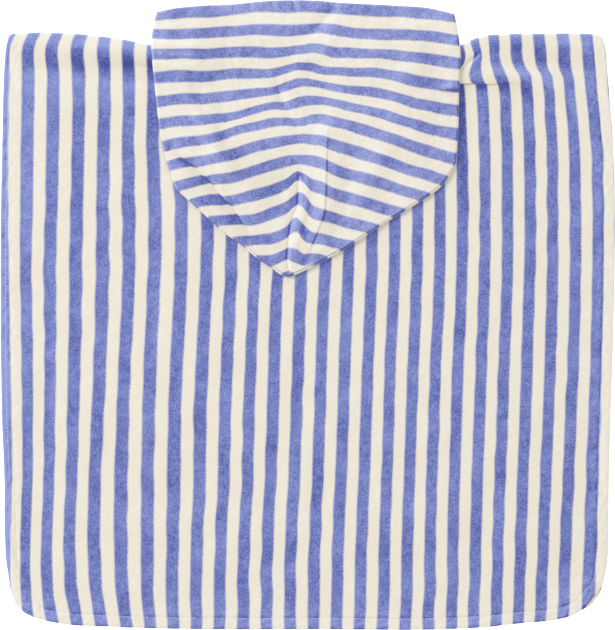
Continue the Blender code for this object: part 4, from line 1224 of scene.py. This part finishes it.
# %% Make the hood
def hood():
    """The folded bag: an upper layer, an under layer and the folds that join them on three sides."""
    tip_left = smooth_line(HOOD_TIP_LEFT)
    tip = np.vstack([tip_left, smooth_line(HOOD_TIP_RIGHT)[1:]])
    rows = row_shares()
    bottom = at_shares(tip, column_shares(length_of(tip_left) / length_of(tip)))
    left = at_shares(smooth_line(HOOD_LEFT), 1.0 - rows)
    right = at_shares(smooth_line(HOOD_RIGHT), rows)
    outline = np.vstack([left[::-1], bottom[1:-1], right])
    outward = normals(outline)
    fold_radius = (WALL + CLEARANCE + HOOD_AIR + HOOD_EDGE_PUFF) / 2
    seat = outline - outward * (fold_radius + WALL / 2)
    seat_left = seat[: len(rows)][::-1]
    seat_bottom = seat[len(rows) - 1 : len(rows) + HOOD_COLUMNS]
    seat_right = seat[len(rows) + HOOD_COLUMNS - 1 :]
    cells = len(rows) * (HOOD_COLUMNS + 1)
    mouth = smooth_line(HOOD_MOUTH)
    neck = smooth_line(HOOD_NECK)

    def layer(line, seam_at, warp, side):
        """One layer up to a line: its points, its heights, and its outer and inner skins."""
        line[0] = seat_left[-1]
        line[-1] = seat_right[-1]
        top = at_shares(line, column_shares(seam_at))
        xy = hood_patch(seat_bottom, seat_left, seat_right, top, rows, warp).reshape(-1, 2)
        x, y = xy.T
        z = support(x, y) + CLEARANCE + WALL / 2
        if side > 0:
            edge = nearest(seat, xy)[0]
            folds = ridges(HOOD_FOLDS, x, y) + seam_relief(x, y) + creases(HOOD_CREASES, x, y)
            folds += wander(HOOD_WANDER, x, y)
            folds -= MOUTH_DIP * bell((nearest(mouth, xy)[0] - MOUTH_HEM) / MOUTH_DIP_REACH)
            gap = HOOD_AIR + HOOD_EDGE_PUFF * (1.0 - smoothstep(edge / HOOD_EDGE_REACH))
            gap += HOOD_LIFT * smoothstep(edge / np.interp(x, HOOD_LIFT_PLACES, HOOD_LIFT_REACH))
            gap += folds * smoothstep(edge / HOOD_FOLDS_FROM)
            z += WALL + CLEARANCE + np.clip(gap, 0.0, HOOD_MAX_PUFF)
        half = WALL / 2 * hem_rounding(nearest(line, xy)[0])
        return xy, z, half, *(np.column_stack([xy, z + way * half]) for way in (side, -side))

    over_xy, over_z, over_half, *over_skins = layer(mouth, SEAM_AT_MOUTH, 1.0, 1.0)
    under_xy, under_z, _, *under_skins = layer(neck, SEAM_AT_NECK, 0.0, -1.0)
    skins = [list(pair) for pair in zip(over_skins, under_skins)]
    stripe = [hood_bands(*over_xy.T), hood_bands(*under_xy.T)]
    tone = [hood_tone_and_painted_shade(*over_xy.T), np.zeros(cells)]
    index = np.arange(cells).reshape(len(rows), -1)
    quads = np.stack([index[:-1, :-1], index[:-1, 1:], index[1:, 1:], index[1:, :-1]], axis=-1).reshape(-1, 4)
    faces = [*map(tuple, quads.tolist()), *map(tuple, (quads[:, ::-1] + cells).tolist())]
    rim = np.concatenate([index[::-1, 0], index[0, 1:-1], index[:, -1]])
    middle_z = (over_z[rim] + under_z[rim]) / 2
    radius = (over_z[rim] - under_z[rim]) / 2
    before = rim
    count = 2 * cells
    for k in range(1, HOOD_FOLD_STEPS + 1):
        turn = math.pi * k / HOOD_FOLD_STEPS
        now = rim + cells
        if k < HOOD_FOLD_STEPS:
            for skin, side in zip(skins, (1.0, -1.0)):
                reach = radius + side * over_half[rim]
                xy = seat + outward * (reach * math.sin(turn))[:, None]
                skin.append(np.column_stack([xy, middle_z + reach * math.cos(turn)]))
            stripe.append(stripe[0][rim])
            tone.append(tone[0][rim])
            now = np.arange(count, count + len(rim))
            count += len(rim)
        strip = np.stack([before[:-1], now[:-1], now[1:], before[1:]], axis=-1)
        faces += map(tuple, strip.tolist())
        before = now
    area = length_of(outline) * math.pi * fold_radius
    area += sum(area_inside(np.vstack([seat, line[::-1]])) for line in (mouth, neck))
    return close_shell("hood_cloth", *skins, faces, stripe, tone), area


hood_cloth, hood_area = hood()
print(f"hood: {hood_area:.3f} square metres flat")

# %% [markdown]
# ## Hem stitches
#
# A lockstitch shows as a row of short threads that sink into the nap. There are hundreds of them, so one
# stitch is modelled once, as a small drawn-out sphere, and copied along the stitch line in one joined
# mesh. The nap hides most of them round the corners and up the right side, so they lie deeper there. On
# the left the hem has rolled over and has brought them nearer to the edge.

# %% Stitches
STITCH_PITCH = 3.1 * MM
STITCH_LENGTH = 2.3 * MM
STITCH_THICK = 0.62 * MM
STITCH_FLAT = 0.8  # a stitch is this much as high as wide
STITCH_AHEAD = 0.2  # how much of a pitch before and after a stitch gives its direction
STITCH_SWAY = 0.07  # how much its direction sways
STITCH_SIZES = 0.88, 1.1  # smallest and largest
STITCH_LOW = -0.12 * MM  # how high the thread's middle lies over the bottom of the groove
STITCH_LOWER = -0.34 * MM  # the same where the nap hides the thread
STITCH_HIDDEN = 215, 250  # across, where the nap begins to hide it and where it does fully
STITCH_ENDS = 4  # points at each end of the line without stitches
LEFT_STITCHES = 5.0 * MM  # how far in from the rolled left edge the stitches lie
ON_THE_LEFT = -270, -290  # across, where that begins and where it is full
LEFT_DOWN_TO = -250, -210  # up, where it has ended and where it is still full
UNDER_STITCHES = 0.4  # height of the thread's middle under the front, as a share of its thickness


def one_stitch():
    """A single stitch along X, made from a sphere with few faces."""
    bpy.ops.object.select_all(action="DESELECT")
    bpy.ops.mesh.primitive_uv_sphere_add(segments=8, ring_count=6, radius=0.5)
    ball = bpy.context.object
    bpy.ops.transform.resize(value=(STITCH_LENGTH, STITCH_THICK, STITCH_THICK * STITCH_FLAT))
    bpy.ops.object.transform_apply(location=False, rotation=False, scale=True)
    mesh = ball.data
    points = np.empty(len(mesh.vertices) * 3)
    mesh.vertices.foreach_get("co", points)
    faces = [tuple(face.vertices) for face in mesh.polygons]
    bpy.data.objects.remove(ball)
    bpy.data.meshes.remove(mesh)
    return points.reshape(-1, 3), faces


def sew(name, line, height_at):
    """A row of stitches along a line, at the heights that height_at gives."""
    points, faces = one_stitch()
    count = int(length_of(line) / STITCH_PITCH)
    shares = (np.arange(count) + 0.5) / count
    middle = at_shares(line, shares)
    step = STITCH_AHEAD / count
    ahead = at_shares(line, np.clip(shares + step, 0.0, 1.0)) - at_shares(line, shares - step)
    ahead /= np.linalg.norm(ahead, axis=1)[:, None]
    rng = np.random.default_rng(41)
    sway = rng.normal(0.0, STITCH_SWAY, count)
    size = rng.uniform(*STITCH_SIZES, count)[:, None, None]
    along = ahead + np.column_stack([-ahead[:, 1], ahead[:, 0]]) * sway[:, None]
    aside = np.column_stack([-along[:, 1], along[:, 0]])
    xy = middle[:, None] + (points[:, :1] * along[:, None] + points[:, 1:2] * aside[:, None]) * size
    verts = np.dstack([xy, height_at(middle)[:, None] + points[:, 2]])
    every = [tuple(v + k * len(points) for v in face) for k in range(count) for face in faces]
    mesh = bpy.data.meshes.new(name)
    mesh.from_pydata(verts.reshape(-1, 3).tolist(), [], every)
    mesh.shade_smooth()
    print(f"{name}: {count} stitches, {2 * len(every)} triangles at most")
    return new_object(name, mesh)


def up_the_left(points):
    """How far a place belongs to the straight left side."""
    x, y = points.T
    return ramp(x, *ON_THE_LEFT) * ramp(y, *LEFT_DOWN_TO)


def on_back(points):
    """Height of the stitches in the groove on the back."""
    x, y = points.T
    hidden = ramp(np.abs(x), *STITCH_HIDDEN) * (1.0 - up_the_left(points))
    top = back_skins(x, y, nearest(back_edge, points)[0])[0]
    return top + STITCH_LOW + (STITCH_LOWER - STITCH_LOW) * hidden


def under_front(points):
    """Height of the stitches in the groove under the front, which stay off the surface."""
    return np.full(len(points), STITCH_THICK * UNDER_STITCHES)


def stitch_line(edge, on_the_left):
    """The line of the hem's stitches, with its distance from the edge on the left side."""
    inward = HEM_WIDTH + (on_the_left - HEM_WIDTH) * up_the_left(edge)
    return (edge - normals(edge) * inward[:, None])[STITCH_ENDS:-STITCH_ENDS]


back_stitches = sew("back_hem_stitches", stitch_line(back_edge, LEFT_STITCHES), on_back)
front_stitches = sew("front_hem_stitches", stitch_line(front_edge, HEM_WIDTH), under_front)

# %% [markdown]
# ## Velour terry
#
# Velour is cotton terry whose loops are cut and brushed. It has no gloss. Light sinks between the fibres,
# so it is dark where the nap faces you, a little lighter where it leans away, and softly bright at a
# glancing angle. The shader's sheen gives that brightness, and the tone adds painted light, shade and
# sheen. The dark dye shows all of this far more than the cream does. Up close the nap stands in
# small tufts about a millimetre across, and hands leave cloudy marks some centimetres wide.
#
# The colour starts from the stripe number. `PINGPONG` folds it into the distance from the middle of the
# nearest blue stripe, with a little noise added first, so that fibres of one colour stray into the other.
# Each colour is then a mix of a deep and a light shade of the same dye.

# %% Colours and nodes
EDGE_SOFT = 0.055  # half the width over which one colour passes into the other
STRAY_FIBRES = 0.05  # how far fibres stray over a stripe's edge, in stripe pitches
NAP_CLOUDS = (
    # size, detail, how much it changes the shade
    (1.3 * MM, 2.0, 1.75),  # tufts
    (6.0 * MM, 2.0, 0.62),  # clumps of them
    (30.0 * MM, 1.0, 0.6),  # marks of hands
)
CLUMP_HEIGHT = 0.6  # how much the clumps count in the bumps of the nap, beside the tufts
TWIST = 0.5 * MM  # length of the sewing thread's twist


def linear(hex_colour):
    """An sRGB hex colour as linear red, green, blue and alpha."""
    parts = [int(hex_colour[k : k + 2], 16) / 255 for k in (1, 3, 5)]
    return (*(p / 12.92 if p <= 0.04045 else ((p + 0.055) / 1.055) ** 2.4 for p in parts), 1.0)


def set_inputs(tree, node, inputs):
    """Give inputs of a node their values. A socket that is given as a value is linked to its input."""
    for name, value in inputs.items():
        if isinstance(value, bpy.types.NodeSocket):
            tree.links.new(value, node.inputs[name])
        else:
            node.inputs[name].default_value = value


def add_node(tree, kind, inputs, output, **settings):
    """Add a node with its settings, values and links, and give back one of its outputs."""
    made = tree.nodes.new(kind)
    for name, value in settings.items():
        setattr(made, name, value)
    set_inputs(tree, made, inputs)
    return made.outputs[output]


def new_material(name):
    """A new material with its node tree and its shader."""
    material = bpy.data.materials.new(name)
    material.use_nodes = True
    return material, material.node_tree, material.node_tree.nodes["Principled BSDF"]


def velour(name, blue_share, deep_blue, light_blue, deep_cream, light_cream):
    """Striped cotton velour: matt, with a nap that clouds and darkens the blue more than the cream."""
    material, tree, shader = new_material(name)
    place = add_node(tree, "ShaderNodeTexCoord", {}, "Object")
    stripe = add_node(tree, "ShaderNodeAttribute", {}, "Fac", attribute_name="stripe")
    # The tone holds the nap's uneven tone together with painted light, shade and sheen from the shells.
    shade = add_node(tree, "ShaderNodeAttribute", {}, "Fac", attribute_name="tone")

    # The nap at three sizes adds to the tone.
    clouds = []
    for size, detail, gain in NAP_CLOUDS:
        inputs = {"Vector": place, "Scale": 1.0 / size, "Detail": detail, "Roughness": 0.55}
        clouds.append(add_node(tree, "ShaderNodeTexNoise", inputs, "Fac"))
        inputs = {0: clouds[-1], 1: gain, 2: shade}
        shade = add_node(tree, "ShaderNodeMath", inputs, 0, operation="MULTIPLY_ADD")
    inputs = {0: shade, 1: 0.5 - 0.5 * sum(gain for _, _, gain in NAP_CLOUDS)}
    shade = add_node(tree, "ShaderNodeMath", inputs, 0, operation="ADD", use_clamp=True)

    # The stripe number, with stray fibres, as the distance from the middle of the nearest blue stripe.
    inputs = {0: clouds[0], 1: STRAY_FIBRES, 2: stripe}
    strayed = add_node(tree, "ShaderNodeMath", inputs, 0, operation="MULTIPLY_ADD")
    centred = add_node(tree, "ShaderNodeMath", {0: strayed, 1: STRAY_FIBRES / 2}, 0, operation="SUBTRACT")
    from_middle = add_node(tree, "ShaderNodeMath", {0: centred, 1: 0.5}, 0, operation="PINGPONG")
    inputs = {"Value": from_middle, "From Min": blue_share - EDGE_SOFT, "From Max": blue_share + EDGE_SOFT}
    colour = add_node(tree, "ShaderNodeMapRange", inputs, "Result", interpolation_type="SMOOTHSTEP")

    # Of a colour mix, input 0 is the factor, 6 and 7 are its colours, and output 2 is the result.
    dyes = [
        add_node(tree, "ShaderNodeMix", {0: shade, 6: linear(deep), 7: linear(light)}, 2, data_type="RGBA")
        for deep, light in ((deep_blue, light_blue), (deep_cream, light_cream))
    ]
    colour = add_node(tree, "ShaderNodeMix", {0: colour, 6: dyes[0], 7: dyes[1]}, 2, data_type="RGBA")

    inputs = {0: clouds[1], 1: CLUMP_HEIGHT, 2: clouds[0]}
    height = add_node(tree, "ShaderNodeMath", inputs, 0, operation="MULTIPLY_ADD")
    inputs = {"Height": height, "Strength": 0.55, "Distance": 0.5 * MM}
    finish = {
        "Base Color": colour,
        "Normal": add_node(tree, "ShaderNodeBump", inputs, "Normal"),
        "Roughness": 0.95,
        "Specular IOR Level": 0.15,
        "Sheen Weight": 0.5,
        "Sheen Roughness": 0.45,
        "Sheen Tint": linear("#FFFFFF"),
    }
    set_inputs(tree, shader, finish)
    return material


def thread(name, colour):
    """Spun polyester thread: a little brighter and smoother than the nap, so the stitches catch the light."""
    material, tree, shader = new_material(name)
    place = add_node(tree, "ShaderNodeTexCoord", {}, "Object")
    inputs = {"Vector": place, "Scale": 1.0 / TWIST, "Detail": 1.0}
    twist = add_node(tree, "ShaderNodeTexNoise", inputs, "Fac")
    inputs = {"Height": twist, "Strength": 0.3, "Distance": 0.1 * MM}
    bump = add_node(tree, "ShaderNodeBump", inputs, "Normal")
    finish = {"Base Color": linear(colour), "Normal": bump, "Roughness": 0.6, "Sheen Weight": 0.2}
    set_inputs(tree, shader, finish)
    return material


# Cotton velour of the two panels: a clear blue and a warm cream, both soft and without gloss.
body_velour = velour("blue_and_cream_velour", 0.2535, "#4751A0", "#98A4DF", "#EEE5D3", "#F5F0E3")
# The same cloth across the hood, where the nap stands up more and makes the blue look lighter.
hood_velour = velour("lighter_hood_velour", 0.2515, "#5761AD", "#A9B3E6", "#EAE1D0", "#F8F4EA")
# Thread in the colour of the cream, so the stitches show on the blue and vanish on the cream.
sewing_thread = thread("ecru_sewing_thread", "#EDE6D6")

# %% [markdown]
# ## Which piece stands for what
#
# Each shell takes the place of one solid and rides on the same body, and the size of its cut and its
# area flat are printed.

# %% Put the pieces in the frame
DRESSED = (
    # piece, solid, slot, material, width, length, area, what it rests on, what is sewn on it
    (front, "front_panel", "front_velour", body_velour, 0.605, 0.575, front_area, [], [front_stitches]),
    (back, "back_panel", "back_velour", body_velour, 0.603, 0.605, back_area, ["front_panel"], [back_stitches]),
    (hood_cloth, "hood", "hood_velour", hood_velour, 0.612, 0.272, hood_area, ["back_panel"], []),
)
for piece, solid, slot, material, width, length, area, rests_on, sewn in DRESSED:
    piece.data.materials.append(material)
    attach(piece, "root")
    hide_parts(solid)
    for stitches in sewn:
        stitches.data.materials.append(sewing_thread)
        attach(stitches, "root")
    print(f"{piece.name}: cut {width:.3f} by {length:.3f} m, {area:.3f} square metres")


# %% [markdown]
# ## Table, light and camera
#
# The poncho lies on a plain white table and is seen from straight above. A big soft lamp at the top left
# gives the folds their shape and the hood its shadow, which painted shade on the back makes darker. Light
# from all round keeps the shadows open, as in a light tent. The camera is far away with a long lens, so
# the cloth is hardly distorted.

# %% Floor, lamps and camera
LENS = 85.0  # millimetres
SENSOR = 36.0
PICTURE = 615, 630  # pixels
PIXEL = 0.98 * MM  # size of a pixel on the cloth
CLOTH_HEIGHT = 3.0 * MM
CAMERA_AT = 0.0001, 0.0002
LAMP_DISTANCE = 5.2

bpy.ops.object.select_all(action="DESELECT")
bpy.ops.mesh.primitive_plane_add(size=6.0, location=(0.0, 0.0, 0.0))
table = bpy.context.object
table.name = "table"
# Plain matt white that glows a little, so the table stays white in the shadows too.
white, tree, surface = new_material("white_table")
finish = {
    "Base Color": (0.85, 0.85, 0.85, 1.0),
    "Roughness": 0.9,
    "Specular IOR Level": 0.1,
    "Emission Color": (1.0, 1.0, 1.0, 1.0),
    "Emission Strength": 0.9,
}
set_inputs(tree, surface, finish)
table.data.materials.append(white)


def lamp(name, energy, size, towards):
    """A square area lamp that shines on the middle of the cloth from a direction."""
    data = bpy.data.lights.new(name, "AREA")
    data.energy = energy
    data.size = size
    made = new_object(name, data)
    made.location = np.array(towards) / np.linalg.norm(towards) * LAMP_DISTANCE
    made.rotation_euler = made.location.to_track_quat("Z", "Y").to_euler()


lamp("key", 108.0, 2.2, (-0.86, 0.5, 1.0))
lamp("fill", 33.0, 4.4, (0.7, -0.5, 1.2))

world = bpy.data.worlds.new("light_tent")
world.use_nodes = True
background = world.node_tree.nodes["Background"]
set_inputs(world.node_tree, background, {"Color": (1.0, 1.0, 1.0, 1.0), "Strength": 0.62})
bpy.context.scene.world = world
bpy.context.scene.view_settings.view_transform = "Standard"

camera_data = bpy.data.cameras.new("camera")
camera_data.lens = LENS
camera_data.sensor_width = SENSOR
camera_data.clip_start = 0.1
camera_data.clip_end = 20.0
camera = new_object("camera", camera_data)
distance = LENS / SENSOR * max(PICTURE) * PIXEL
camera.location = (*CAMERA_AT, CLOTH_HEIGHT + distance)
bpy.context.scene.camera = camera
print(f"camera {distance:.3f} m above the cloth")
